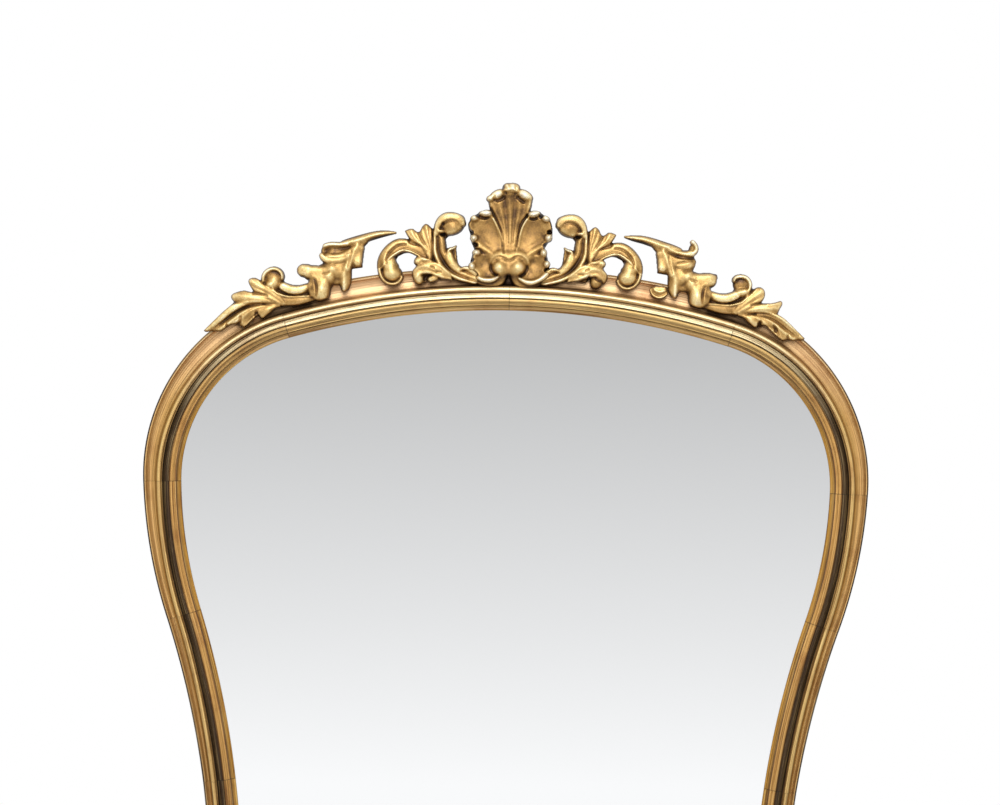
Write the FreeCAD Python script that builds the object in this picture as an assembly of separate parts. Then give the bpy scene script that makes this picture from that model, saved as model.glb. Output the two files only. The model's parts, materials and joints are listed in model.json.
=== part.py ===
"""Giltwood overmantel mirror: a balloon-shaped moulded frame with a carved crest.

Millimetres. X runs across the mirror, Z is up and the front faces -Y. The origin is
the centre of the underside of the base rail. A point of the frame is given by its
distance w outward from the sight edge, where the glass begins to show, and by its
depth d forward of the flat rear face.
"""
import FreeCAD, Part
import math
import os

V = FreeCAD.Vector
UP_TURN = 90.0

# Sight edge of the right half, from the middle of the crown down to the base rail.
CROWN_RADIUS = 1360.0
CROWN_TURN = 16.4
SHOULDER_RADIUS = 257.0
SHOULDER_TURN = 75.3
FLANK_RADIUS = 810.0
FLANK_TURN = 16.2
WAIST_RADIUS = 1678.0
WAIST_TURN = 10.3
FOOT_TURN = 14.6
TOE_LENGTH = 72.0

# Width of the moulding at the middle of the crown and at each joint below it.
CROWN_WIDTH = 75.0
HAUNCH_WIDTH = 79.0
SHOULDER_WIDTH = 67.0
FLANK_WIDTH = 61.5
WAIST_WIDTH = 57.5
BASE_WIDTH = 56.0

# Section of the outer moulding.
RIDGE_DEPTH = 56.0
RIDGE_SPRING = 50.0
RIDGE_INNER = 37.0
RIDGE_OUTER = 46.0
COVE_SPRING = 40.0
COVE_DEPTH = 33.0
OUTER_BEAD_RADIUS = 2.5
FILLET_WIDTH = 2.5
FILLET_DEPTH = 47.5
GROOVE_INNER = 28.0
GROOVE_WIDTH = 5.0
GROOVE_DEPTH = 41.0

# Rebates in the rear of the outer moulding.
PLATE_REBATE = 12.0
BOARD_REBATE = 24.0
BOARD_SHELF = 12.0

# Looking glass, slip moulding and backboards.
PLATE_THICKNESS = 5.0
PLATE_FRONT = 34.0
PLATE_LAP = 9.7
SLIP_CLEARANCE = 0.3
SLIP_SIDE_DEPTH = 44.0
SLIP_CREST = 20.0
SLIP_CREST_DEPTH = 50.0
SLIP_HAUNCH = 24.5
SLIP_HAUNCH_DEPTH = 49.0
SLIP_HOLLOW = 16.0
SLIP_HOLLOW_DEPTH = 48.5
SLIP_LIP = 13.2
SLIP_LIP_DEPTH = 45.0
SLIP_ARRIS = 12.2
SLIP_ARRIS_DEPTH = 45.6
SLIP_QUIRK = 11.0
SLIP_QUIRK_DEPTH = 42.0
SLIP_EDGE_DEPTH = 36.4
BOARD_COUNT = 7
BOARD_SETBACK = 2.0
BOARD_EDGE_CLEARANCE = 1.0
BOARD_SEAM = 0.5

# Glue blocks that hold the glass from behind.
BLOCK_LENGTH = 40.0
BLOCK_WIDTH = 10.0
BLOCK_CLEARANCE = 1.0

# Wooden dowels in the joints.
DOWEL_RADIUS = 4.0
DOWEL_LENGTH = 50.0
DOWEL_CLEARANCE = 0.1
DOWEL_OFFSETS = (34.0, 47.0)
DOWEL_DEPTH = 18.5
MITRE_DOWEL_LENGTH = 36.0
MITRE_DOWEL_OFFSETS = (20.0, 32.0)

# Nails that hold the backboards.
NAIL_RADIUS = 1.0
NAIL_LENGTH = 24.0
NAIL_HEAD_RADIUS = 2.6
NAIL_HEAD_THICKNESS = 0.8
NAIL_OFFSET = 17.5
NAIL_CLEARANCE = 0.1

# Carved crest.
SHELL_WIDTH = 160.0
SHELL_HEIGHT = 190.0
SHELL_FOOT = 36.0
SHELL_THICKNESS = 26.0
SHELL_RIB_THICKNESS = 6.0
SHELL_BALL_RADIUS = 11.5
SCROLL_START = 52.0
SCROLL_WIDTH = 180.0
SCROLL_HEIGHT = 150.0
SCROLL_FOOT = 30.0
SCROLL_THICKNESS = 22.0
SCROLL_BALL_RADIUS = 14.0
SPRAY_START = 194.0
SPRAY_WIDTH = 344.0
SPRAY_HEIGHT = 194.0
SPRAY_FOOT = -56.0
SPRAY_THICKNESS = 20.0
CREST_CLEARANCE = 0.3
CREST_RIDGE_CLEARANCE = 0.8

# Pine backings and braces behind the crest.
BRACE_THICKNESS = 14.0
BRACE_CLEARANCE = 0.1
CENTRE_BRACE_WIDTH = 44.0
CENTRE_BRACE_TOP = 176.0
SIDE_BRACE_WIDTH = 20.0
SIDE_BRACE_PLACE = 124.0
SIDE_BRACE_TOP = 138.0
BRACE_FOOT = 34.0
BRACE_SCREW_RADIUS = 2.2
BRACE_SCREW_HEAD_RADIUS = 4.2
BRACE_SCREW_LENGTH = 30.0
BRACE_SCREW_INSET = 30.0
SCREW_CLEARANCE = 0.1
PIN_RADIUS = 2.0
PIN_LENGTH = 24.0
PIN_ENTRY = 12.0

# Strap hangers with hinged rings on the rear of the flanks.
STRAP_LENGTH = 32.0
STRAP_WIDTH = 14.0
STRAP_THICKNESS = 1.3
STRAP_INSET = 3.5
RING_WIRE_RADIUS = 1.5
RING_HALF_WIDTH = 11.5
RING_CORNER = 2.5
RING_LEG = 3.5
HINGE_CLEARANCE = 0.05
HANGER_SCREW_PLACES = (8.5, 26.5)
HANGER_SCREW_RADIUS = 1.6
HANGER_SCREW_LENGTH = 20.0
HANGER_HEAD_RADIUS = 3.3
HANGER_HEAD_THICKNESS = 1.4

# Longest turn between two sections of a moulding, and the overrun of every cut.
STATION_TURN = 8.0
OVERRUN = 5.0

REAR_Y = RIDGE_DEPTH / 2

# Where along each run the glue blocks and nails stand, as shares of the run.
BLOCK_SHARES = ((0.12, 0.72), (0.15, 0.62), (0.3,), (0.5,), (0.25, 0.75), (0.12, 0.32))
NAIL_SHARES = ((0.12, 0.45, 0.78), (0.12, 0.46, 0.8), (0.2, 0.8), (0.25, 0.75),
               (0.2, 0.55, 0.85), (0.05, 0.14, 0.25, 0.4))
HANGER_SHARE = 0.5

# Right half of the shell outline, from the middle of the curled top down to the foot,
# as shares of the shell's box.
SHELL_SHARES = (
    (0.500, 0.985), (0.550, 0.970), (0.585, 0.935), (0.592, 0.900), (0.640, 0.890),
    (0.700, 0.875), (0.725, 0.855), (0.718, 0.800), (0.700, 0.760), (0.702, 0.715),
    (0.750, 0.712), (0.800, 0.725), (0.850, 0.705), (0.900, 0.670), (0.938, 0.620),
    (0.958, 0.560), (0.962, 0.500), (0.940, 0.455), (0.900, 0.420), (0.875, 0.392),
    (0.900, 0.365), (0.925, 0.325), (0.930, 0.270), (0.945, 0.215), (0.930, 0.165),
    (0.890, 0.115), (0.830, 0.080), (0.740, 0.058), (0.660, 0.055), (0.590, 0.075),
    (0.540, 0.100), (0.500, 0.125))
SHELL_RIB_SHARES = (
    (0.500, 0.870), (0.560, 0.860), (0.620, 0.790), (0.600, 0.640), (0.560, 0.480),
    (0.540, 0.300), (0.500, 0.280))
SHELL_BALL_SHARE = (0.588, 0.195)

# Outline of the right C-scroll group with its leaf and small outer scroll.
SCROLL_SHARES = (
    (0.000, 0.080), (0.000, 0.190), (0.050, 0.230), (0.100, 0.270), (0.170, 0.300),
    (0.205, 0.320), (0.228, 0.370), (0.235, 0.430), (0.225, 0.490), (0.238, 0.530),
    (0.265, 0.508), (0.300, 0.500), (0.322, 0.520), (0.335, 0.570), (0.330, 0.620),
    (0.300, 0.665), (0.240, 0.695), (0.190, 0.720), (0.160, 0.745), (0.145, 0.800),
    (0.152, 0.860), (0.190, 0.908), (0.260, 0.930), (0.320, 0.922), (0.380, 0.880),
    (0.420, 0.820), (0.455, 0.745), (0.500, 0.758), (0.540, 0.780), (0.578, 0.745),
    (0.600, 0.705), (0.650, 0.732), (0.705, 0.732), (0.732, 0.705), (0.722, 0.655),
    (0.702, 0.622), (0.760, 0.622), (0.830, 0.588), (0.900, 0.520), (0.950, 0.440),
    (0.980, 0.350), (0.982, 0.250), (0.955, 0.150), (0.905, 0.080), (0.840, 0.045),
    (0.780, 0.060), (0.745, 0.110), (0.740, 0.170), (0.770, 0.220), (0.820, 0.280),
    (0.830, 0.340), (0.800, 0.400), (0.740, 0.445), (0.670, 0.460), (0.610, 0.430),
    (0.630, 0.370), (0.620, 0.310), (0.650, 0.250), (0.662, 0.190), (0.640, 0.130),
    (0.570, 0.085), (0.500, 0.110), (0.420, 0.150), (0.330, 0.165), (0.240, 0.140),
    (0.140, 0.095))
SCROLL_BALL_SHARES = ((0.855, 0.200), (0.300, 0.820))

# Outline of the right leaf spray, from the tip of its horn.
SPRAY_SHARES = (
    (0.020, 0.970), (0.060, 0.985), (0.110, 0.982), (0.160, 0.962), (0.210, 0.932),
    (0.260, 0.900), (0.295, 0.862), (0.330, 0.845), (0.345, 0.900), (0.362, 0.945),
    (0.385, 0.900), (0.386, 0.840), (0.378, 0.800), (0.395, 0.760), (0.388, 0.715),
    (0.370, 0.672), (0.410, 0.655), (0.460, 0.664), (0.490, 0.662), (0.510, 0.630),
    (0.500, 0.585), (0.472, 0.550), (0.448, 0.520), (0.450, 0.490), (0.480, 0.470),
    (0.520, 0.465), (0.558, 0.485), (0.580, 0.515), (0.575, 0.565), (0.588, 0.615),
    (0.618, 0.642), (0.650, 0.636), (0.675, 0.595), (0.682, 0.540), (0.700, 0.535),
    (0.728, 0.542), (0.748, 0.520), (0.742, 0.465), (0.722, 0.415), (0.728, 0.392),
    (0.765, 0.402), (0.800, 0.412), (0.832, 0.385), (0.832, 0.340), (0.812, 0.300),
    (0.860, 0.240), (0.900, 0.175), (0.940, 0.110), (0.980, 0.045), (0.962, 0.018),
    (0.915, 0.045), (0.880, 0.050), (0.835, 0.062), (0.805, 0.135), (0.775, 0.190),
    (0.732, 0.205), (0.700, 0.170), (0.662, 0.190), (0.622, 0.262), (0.560, 0.272),
    (0.500, 0.285), (0.445, 0.310), (0.405, 0.325), (0.378, 0.345), (0.350, 0.400),
    (0.330, 0.445), (0.300, 0.455), (0.275, 0.405), (0.250, 0.425), (0.243, 0.490),
    (0.236, 0.560), (0.228, 0.612), (0.200, 0.622), (0.178, 0.635), (0.184, 0.700),
    (0.186, 0.770), (0.176, 0.830), (0.150, 0.882), (0.110, 0.922), (0.060, 0.942))
SPRAY_RIB_SHARES = (
    (0.190, 0.880), (0.300, 0.820), (0.340, 0.640), (0.430, 0.620), (0.440, 0.470),
    (0.600, 0.400), (0.700, 0.400), (0.820, 0.270), (0.740, 0.260), (0.600, 0.320),
    (0.420, 0.400), (0.300, 0.520), (0.230, 0.680))

# Backings that stand behind the shell and the scrolls, inside their outlines.
SHELL_BACKING_SHARES = (
    (0.180, 0.150), (0.180, 0.560), (0.340, 0.640), (0.380, 0.830), (0.620, 0.830),
    (0.660, 0.640), (0.820, 0.560), (0.820, 0.150))
SCROLL_BACKING_SHARES = (
    (0.340, 0.180), (0.360, 0.420), (0.350, 0.660), (0.330, 0.840), (0.400, 0.780),
    (0.460, 0.640), (0.480, 0.480), (0.560, 0.180))

# Where the pins join the crest to what stands behind it, as shares of each box.
SHELL_PIN_SHARES = ((0.400, 0.740), (0.600, 0.740), (0.260, 0.400), (0.740, 0.400))
SCROLL_PIN_SHARES = ((0.405, 0.700), (0.430, 0.360))
SPRAY_PIN_SHARES = ((0.285, 0.460), (0.540, 0.340), (0.700, 0.260))


class Run:
    """One stretch of the sight edge, an arc or a straight, walked with the glass on the right."""

    def __init__(self, start, heading, radius, turn, length):
        self.start = start
        self.heading = heading
        self.radius = radius
        self.turn = turn
        self.length = length

    def heading_at(self, share):
        """Heading in degrees after a share of the run."""
        return self.heading - self.turn * share

    def normal(self, share):
        """Unit vector out of the glass, in the plane of the frame."""
        angle = math.radians(self.heading_at(share) + UP_TURN)
        return math.cos(angle), math.sin(angle)

    def point(self, share, w):
        """Place (x, z) at a share of the run and w outward from the sight edge."""
        nx, nz = self.normal(share)
        x, z = self.start
        if not self.turn:
            ahead = self.length * share
            return x + nz * ahead + nx * w, z - nx * ahead + nz * w
        first_nx, first_nz = self.normal(0)
        reach = math.copysign(self.radius, self.turn)
        centre_x = x - first_nx * reach
        centre_z = z - first_nz * reach
        return centre_x + nx * (reach + w), centre_z + nz * (reach + w)


def sight_runs():
    """The runs of the right half in order, and the base rail's run, with the base at z = 0."""
    table = ((CROWN_RADIUS, CROWN_TURN, 0), (SHOULDER_RADIUS, SHOULDER_TURN, 0),
             (FLANK_RADIUS, FLANK_TURN, 0), (WAIST_RADIUS, -WAIST_TURN, 0),
             (WAIST_RADIUS, -FOOT_TURN, 0), (0, 0, TOE_LENGTH))
    start = (0, 0)
    heading = 0
    for radius, turn, length in table:
        run = Run(start, heading, radius, turn, length)
        start = run.point(1, 0)
        heading = run.heading_at(1)
    top = BASE_WIDTH - start[1]
    runs = []
    start = (0, top)
    heading = 0
    for radius, turn, length in table:
        run = Run(start, heading, radius, turn, length)
        runs.append(run)
        start = run.point(1, 0)
        heading = run.heading_at(1)
    runs.append(Run(start, 2 * UP_TURN, 0, 0, 2 * start[0]))
    return runs


CROWN, SHOULDER, FLANK, WAIST, FOOT, TOE, BASE = sight_runs()
SIGHT_TOP = CROWN.start[1]
CORNER = TOE.point(1, 0)


def place(x, z, d):
    """Point at x and z, d forward of the rear face."""
    return V(x, REAR_Y - d, z)


def mirrored(shape):
    """The same piece on the left of the middle plane."""
    return shape.mirror(V(0, 0, 0), V(1, 0, 0))


def prism(points, low, high):
    """Solid over a closed outline of (x, z) points between two depths."""
    corners = [place(x, z, low) for x, z in points]
    face = Part.Face(Part.makePolygon(corners + corners[:1]))
    return face.extrude(V(0, low - high, 0))


def rod(x, z, low, high, radius):
    """Round bar along Y between two depths."""
    return Part.makeCylinder(radius, high - low, place(x, z, low), V(0, -1, 0))


def stroke_wire(run, share, start, strokes):
    """Closed section wire at a share of a run, from (w, d) lines and three-point arcs."""
    def spot(w, d):
        x, z = run.point(share, w)
        return place(x, z, d)
    edges = []
    last = start
    for stroke in strokes + ((start,),):
        end = stroke[-1]
        if len(stroke) == 2:
            edges.append(Part.Arc(spot(*last), spot(*stroke[0]), spot(*end)).toShape())
        else:
            edges.append(Part.LineSegment(spot(*last), spot(*end)).toShape())
        last = end
    return Part.Wire(edges)


def moulding_section(width):
    """Start and strokes of the outer moulding, for a moulding of this width."""
    bead_side = RIDGE_INNER - FILLET_WIDTH
    groove_outer = GROOVE_INNER + GROOVE_WIDTH
    cove_end = width - 2 * OUTER_BEAD_RADIUS
    ridge_middle = (RIDGE_INNER + RIDGE_OUTER) / 2
    bead_top = COVE_SPRING + OUTER_BEAD_RADIUS
    start = (BOARD_REBATE, 0)
    strokes = (
        ((width, 0),),
        ((width, COVE_SPRING),),
        ((width - OUTER_BEAD_RADIUS, bead_top), (cove_end, COVE_SPRING)),
        (((cove_end + RIDGE_OUTER) / 2, COVE_DEPTH), (RIDGE_OUTER, COVE_SPRING)),
        ((RIDGE_OUTER, RIDGE_SPRING),),
        ((ridge_middle, RIDGE_DEPTH), (RIDGE_INNER, RIDGE_SPRING)),
        ((RIDGE_INNER, FILLET_DEPTH),),
        ((bead_side, FILLET_DEPTH),),
        ((groove_outer, GROOVE_DEPTH),),
        ((GROOVE_INNER, GROOVE_DEPTH),),
        ((GROOVE_INNER, PLATE_FRONT),),
        ((PLATE_REBATE, PLATE_FRONT),),
        ((PLATE_REBATE, BOARD_SHELF),),
        ((BOARD_REBATE, BOARD_SHELF),),
    )
    return start, strokes


def slip_section():
    """Start and strokes of the slip moulding that laps the glass."""
    side = GROOVE_INNER - SLIP_CLEARANCE
    start = (0, PLATE_FRONT)
    strokes = (
        ((side, PLATE_FRONT),),
        ((side, SLIP_SIDE_DEPTH),),
        ((SLIP_HAUNCH, SLIP_HAUNCH_DEPTH), (SLIP_CREST, SLIP_CREST_DEPTH)),
        ((SLIP_HOLLOW, SLIP_HOLLOW_DEPTH), (SLIP_LIP, SLIP_LIP_DEPTH)),
        ((SLIP_ARRIS, SLIP_ARRIS_DEPTH),),
        ((SLIP_QUIRK, SLIP_QUIRK_DEPTH),),
        ((0, SLIP_EDGE_DEPTH),),
    )
    return start, strokes


def run_shares(run):
    """Even shares along a run, close enough for a true curve."""
    steps = max(1, math.ceil(abs(run.turn) / STATION_TURN))
    if run.turn:
        steps = max(steps, 3)
    return [step / steps for step in range(steps + 1)]


def swept(run, first_width, last_width, section):
    """Solid along one run whose width changes evenly from one end to the other."""
    wires = []
    for share in run_shares(run):
        width = first_width + (last_width - first_width) * share
        start, strokes = section(width)
        wires.append(stroke_wire(run, share, start, strokes))
    return Part.makeLoft(wires, True, False)


def corner_point(w):
    """Where the foot and base rail meet, w outward from both sight edges."""
    toe_x, toe_z = TOE.normal(1)
    base_x, base_z = BASE.normal(0)
    scale = w / (1 + toe_x * base_x + toe_z * base_z)
    return CORNER[0] + (toe_x + base_x) * scale, CORNER[1] + (toe_z + base_z) * scale


def mitre_directions():
    """Unit vectors along the mitre and square to it, on the base rail's side."""
    outer_x, outer_z = corner_point(BASE_WIDTH)
    along = V(outer_x - CORNER[0], 0, outer_z - CORNER[1]).normalize()
    return along, V(along.z, 0, -along.x)


def mitre_block(sign):
    """Block on one side of the right mitre, 1 for the base rail's side."""
    along, across = mitre_directions()
    reach = 2 * BASE_WIDTH
    corner = V(CORNER[0], REAR_Y + OVERRUN, CORNER[1])
    far = across * (sign * BASE.length)
    points = [corner - along * reach, corner + along * reach,
              corner + along * reach + far, corner - along * reach + far]
    face = Part.Face(Part.makePolygon(points + points[:1]))
    return face.extrude(V(0, -RIDGE_DEPTH - 2 * OVERRUN, 0))


def lengthened(run, share, extra):
    """A straight run that starts or ends further on by extra at one end or both."""
    nx, nz = run.normal(0)
    x, z = run.start
    back = extra * share
    return Run((x - nz * back, z + nx * back), run.heading, 0, 0, run.length + extra + back)


def foot_piece(section):
    """Foot with its straight toe, cut to the mitre."""
    straight = lengthened(TOE, 0, BASE_WIDTH)
    curved = swept(FOOT, WAIST_WIDTH, BASE_WIDTH, section)
    toe = swept(straight, BASE_WIDTH, BASE_WIDTH, section)
    return curved.fuse(toe.cut(mitre_block(1))).removeSplitter()


def base_piece(section):
    """Base rail cut to the mitre at both ends."""
    rail = swept(lengthened(BASE, 1, BASE_WIDTH), BASE_WIDTH, BASE_WIDTH, section)
    left_block = mirrored(mitre_block(-1))
    return rail.cut(mitre_block(-1)).cut(left_block)


def ring_pieces(prefix, section):
    """Every piece of one moulding round the glass, by node name."""
    right = {
        "crown": swept(CROWN, CROWN_WIDTH, HAUNCH_WIDTH, section),
        "shoulder": swept(SHOULDER, HAUNCH_WIDTH, SHOULDER_WIDTH, section),
        "flank": swept(FLANK, SHOULDER_WIDTH, FLANK_WIDTH, section),
        "waist": swept(WAIST, FLANK_WIDTH, WAIST_WIDTH, section),
        "foot": foot_piece(section),
    }
    pieces = {}
    for name, shape in right.items():
        pieces[prefix + name + "_right"] = shape
        pieces[prefix + name + "_left"] = mirrored(shape)
    pieces[prefix + "base_rail"] = base_piece(section)
    return pieces


def ring_face(w):
    """Flat face inside the line w outward from the sight edge, on the rear plane."""
    edges = []
    for run in (CROWN, SHOULDER, FLANK, WAIST, FOOT):
        spots = [place(*run.point(share, w), 0) for share in (0, 0.5, 1)]
        edges.append(Part.Arc(*spots).toShape())
    corner = place(*corner_point(w), 0)
    edges.append(Part.LineSegment(place(*TOE.point(0, w), 0), corner).toShape())
    left = [edge.mirror(V(0, 0, 0), V(1, 0, 0)) for edge in reversed(edges)]
    floor = Part.LineSegment(corner, V(-corner.x, corner.y, corner.z)).toShape()
    return Part.Face(Part.Wire(edges + [floor] + left))


def ring_slab(w, low, high):
    """Slab with the frame's outline, between two depths."""
    slab = ring_face(w)
    slab.translate(V(0, -low, 0))
    return slab.extrude(V(0, low - high, 0))


def backboards():
    """Upright boards side by side, cut to the frame's outline."""
    edge = BOARD_REBATE - BOARD_EDGE_CLEARANCE
    whole = ring_slab(edge, BOARD_SETBACK, BOARD_SHELF)
    box = whole.BoundBox
    step = box.XLength / BOARD_COUNT
    boards = {}
    for number in range(BOARD_COUNT):
        left = box.XMin + number * step + BOARD_SEAM / 2
        right = left + step - BOARD_SEAM
        strip = prism([(left, box.ZMin - OVERRUN), (right, box.ZMin - OVERRUN),
                       (right, box.ZMax + OVERRUN), (left, box.ZMax + OVERRUN)],
                      0, BOARD_SHELF + OVERRUN)
        boards["backboard_%d" % (number + 1)] = whole.common(strip)
    return boards


def both_sides(places):
    """Places on the right, and the same on the left."""
    return list(places) + [(-x, z, (-nx, nz)) for x, z, (nx, nz) in places]


def stations(table, w):
    """Places and normals at the shares in a table, on both sides of the frame."""
    found = []
    for run, shares in zip((CROWN, SHOULDER, FLANK, WAIST, FOOT, BASE), table):
        for share in shares:
            x, z = run.point(share, w)
            found.append((x, z, run.normal(share)))
    return both_sides(found)


def glue_blocks():
    """Blocks between the glass and the backboards, against the rebate's wall."""
    outer = PLATE_REBATE - BLOCK_CLEARANCE
    high = PLATE_FRONT - PLATE_THICKNESS
    blocks = []
    for x, z, (nx, nz) in stations(BLOCK_SHARES, outer):
        half = BLOCK_LENGTH / 2
        points = [(x + side * nz * half - nx * back, z - side * nx * half - nz * back)
                  for side, back in ((1, 0), (-1, 0), (-1, BLOCK_WIDTH), (1, BLOCK_WIDTH))]
        blocks.append(prism(points, BOARD_SHELF, high))
    return blocks


def nails():
    """Nails through the backboards into the frame, and the holes that they need."""
    solids = []
    holes = []
    low = BOARD_SETBACK
    for x, z, _ in stations(NAIL_SHARES, NAIL_OFFSET):
        shank = rod(x, z, low, low + NAIL_LENGTH, NAIL_RADIUS)
        head = rod(x, z, low - NAIL_HEAD_THICKNESS, low, NAIL_HEAD_RADIUS)
        solids.append(shank.fuse(head).removeSplitter())
        holes.append(rod(x, z, low, low + NAIL_LENGTH + NAIL_CLEARANCE,
                         NAIL_RADIUS + NAIL_CLEARANCE))
    return solids, holes


def dowel_at(x, z, direction, length, extra):
    """Dowel centred on a joint, larger by extra for its hole."""
    half = length / 2 + extra
    middle = place(x, z, DOWEL_DEPTH)
    start = middle - direction * half
    return Part.makeCylinder(DOWEL_RADIUS + extra, 2 * half, start, direction)


def dowels(extra):
    """Two dowels in each joint of the outer moulding."""
    found = []
    for w in DOWEL_OFFSETS:
        found.append(dowel_at(*CROWN.point(0, w), V(1, 0, 0), DOWEL_LENGTH, extra))
        for run in (CROWN, SHOULDER, FLANK, WAIST):
            nx, nz = run.normal(1)
            dowel = dowel_at(*run.point(1, w), V(nz, 0, -nx), DOWEL_LENGTH, extra)
            found += [dowel, mirrored(dowel)]
    _, across = mitre_directions()
    for w in MITRE_DOWEL_OFFSETS:
        dowel = dowel_at(*corner_point(w), across, MITRE_DOWEL_LENGTH, extra)
        found += [dowel, mirrored(dowel)]
    return found


def in_box(shares, start, foot, width, height):
    """Outline points from shares of a box that stands above the sight edge's top."""
    return [(start + across * width, SIGHT_TOP + foot + up * height) for across, up in shares]


def shell_points(shares):
    """Points of the shell's box, whose middle is the middle of the mirror."""
    return in_box(shares, -SHELL_WIDTH / 2, SHELL_FOOT, SHELL_WIDTH, SHELL_HEIGHT)


def scroll_points(shares):
    """Points of the right scroll's box."""
    return in_box(shares, SCROLL_START, SCROLL_FOOT, SCROLL_WIDTH, SCROLL_HEIGHT)


def spray_points(shares):
    """Points of the right spray's box."""
    return in_box(shares, SPRAY_START, SPRAY_FOOT, SPRAY_WIDTH, SPRAY_HEIGHT)


def closed_by_mirror(shares):
    """A right half outline and its mirror image, as one closed outline."""
    left = [(1 - across, up) for across, up in reversed(shares) if across > 0.5]
    return list(shares) + left


def crest_floor():
    """Depth of the crest's rear face, just in front of the outer bead."""
    return COVE_SPRING + OUTER_BEAD_RADIUS + CREST_CLEARANCE


def ball(x, z, d, radius):
    """Ball that stands half out of a carved face."""
    return Part.makeSphere(radius, place(x, z, d))


def ridge_cutter():
    """The space over the glass and ridge that the crest keeps out of."""
    return ring_slab(RIDGE_OUTER + CREST_RIDGE_CLEARANCE, 0, 2 * RIDGE_DEPTH)


def crest_shell():
    """Carved shell with its raised middle rib and two small volutes at the foot."""
    low = crest_floor()
    high = low + SHELL_THICKNESS
    body = prism(shell_points(closed_by_mirror(SHELL_SHARES)), low, high)
    rib = prism(shell_points(closed_by_mirror(SHELL_RIB_SHARES)), low,
                high + SHELL_RIB_THICKNESS)
    body = body.fuse(rib)
    across, up = SHELL_BALL_SHARE
    for x, z in shell_points(((across, up), (1 - across, up))):
        body = body.fuse(ball(x, z, high, SHELL_BALL_RADIUS))
    return body.removeSplitter().cut(ridge_cutter())


def crest_scroll(shell):
    """Right C-scroll group with its balls, fitted round the shell."""
    low = crest_floor()
    high = low + SCROLL_THICKNESS
    body = prism(scroll_points(SCROLL_SHARES), low, high)
    for x, z in scroll_points(SCROLL_BALL_SHARES):
        body = body.fuse(ball(x, z, high, SCROLL_BALL_RADIUS))
    body = body.cut(ridge_cutter()).cut(shell)
    return max(body.Solids, key=lambda solid: solid.Volume)


def crest_spray(scroll):
    """Right leaf spray with a raised stem, clear of the scroll."""
    low = crest_floor()
    high = low + SPRAY_THICKNESS
    body = prism(spray_points(SPRAY_SHARES), low, high)
    stem = prism(spray_points(SPRAY_RIB_SHARES), low, high + SHELL_RIB_THICKNESS)
    body = body.fuse(stem).removeSplitter().cut(ridge_cutter()).cut(scroll)
    return max(body.Solids, key=lambda solid: solid.Volume)


def crest_backings(frame):
    """Pine backings behind the shell and scrolls, seated on the frame's top edge."""
    low = BRACE_THICKNESS
    high = crest_floor() - CREST_CLEARANCE
    centre = prism(shell_points(SHELL_BACKING_SHARES), low, high)
    side = prism(scroll_points(SCROLL_BACKING_SHARES), low, high)
    side = side.cut(centre)
    for name in ("crown_right", "crown_left"):
        centre = centre.cut(frame[name])
    side = side.cut(frame["crown_right"])
    return {"crest_backing_centre": centre, "crest_backing_right": side,
            "crest_backing_left": mirrored(side)}


def brace_box(middle, width, top, extra):
    """Upright batten let into the rear of the crown, larger by extra for its housing."""
    half = width / 2 + extra
    foot = SIGHT_TOP + BRACE_FOOT - extra
    head = SIGHT_TOP + top
    return prism([(middle - half, foot), (middle + half, foot), (middle + half, head),
                  (middle - half, head)], 0, BRACE_THICKNESS)


def braces(extra):
    """The three battens behind the crest."""
    right = brace_box(SIDE_BRACE_PLACE, SIDE_BRACE_WIDTH, SIDE_BRACE_TOP, extra)
    return {"crest_brace_centre": brace_box(0, CENTRE_BRACE_WIDTH, CENTRE_BRACE_TOP, extra),
            "crest_brace_right": right, "crest_brace_left": mirrored(right)}


def brace_screw(x, z, extra):
    """Countersunk screw, or its hole, driven from the rear."""
    radius = BRACE_SCREW_RADIUS + extra
    head_radius = BRACE_SCREW_HEAD_RADIUS + extra
    head_depth = BRACE_SCREW_HEAD_RADIUS - BRACE_SCREW_RADIUS
    head = Part.makeCone(head_radius, radius, head_depth, place(x, z, 0), V(0, -1, 0))
    return head.fuse(rod(x, z, 0, BRACE_SCREW_LENGTH + extra, radius)).removeSplitter()


def brace_screws(extra):
    """Two screws at the foot of each brace and two at its head, one each on the sides."""
    foot = SIGHT_TOP + BRACE_FOOT + BRACE_SCREW_INSET
    pair = CENTRE_BRACE_WIDTH / 2 - 2 * BRACE_SCREW_HEAD_RADIUS
    found = []
    for top, xs in ((CENTRE_BRACE_TOP, (-pair, pair)),
                    (SIDE_BRACE_TOP, (SIDE_BRACE_PLACE, -SIDE_BRACE_PLACE))):
        head = SIGHT_TOP + top - BRACE_SCREW_INSET
        for x in xs:
            found.append(brace_screw(x, foot, extra))
            found.append(brace_screw(x, head, extra))
    return found


def crest_pins(extra):
    """Pins that join the crest to its backings and to the frame."""
    spots = shell_points(SHELL_PIN_SHARES)
    for x, z in scroll_points(SCROLL_PIN_SHARES) + spray_points(SPRAY_PIN_SHARES):
        spots += [(x, z), (-x, z)]
    middle = crest_floor()
    low = middle - PIN_LENGTH + PIN_ENTRY
    return [rod(x, z, low - extra, middle + PIN_ENTRY + extra, PIN_RADIUS + extra)
            for x, z in spots]


def hinge_place():
    """Axis (x, y, z) of the right hanger's ring."""
    x, z = FLANK.point(HANGER_SHARE, BOARD_REBATE + STRAP_INSET)
    return V(x, REAR_Y + knuckle_radius(), z)


def knuckle_radius():
    """Outer radius of the rolled end of the strap."""
    return RING_WIRE_RADIUS + HINGE_CLEARANCE + STRAP_THICKNESS


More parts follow.
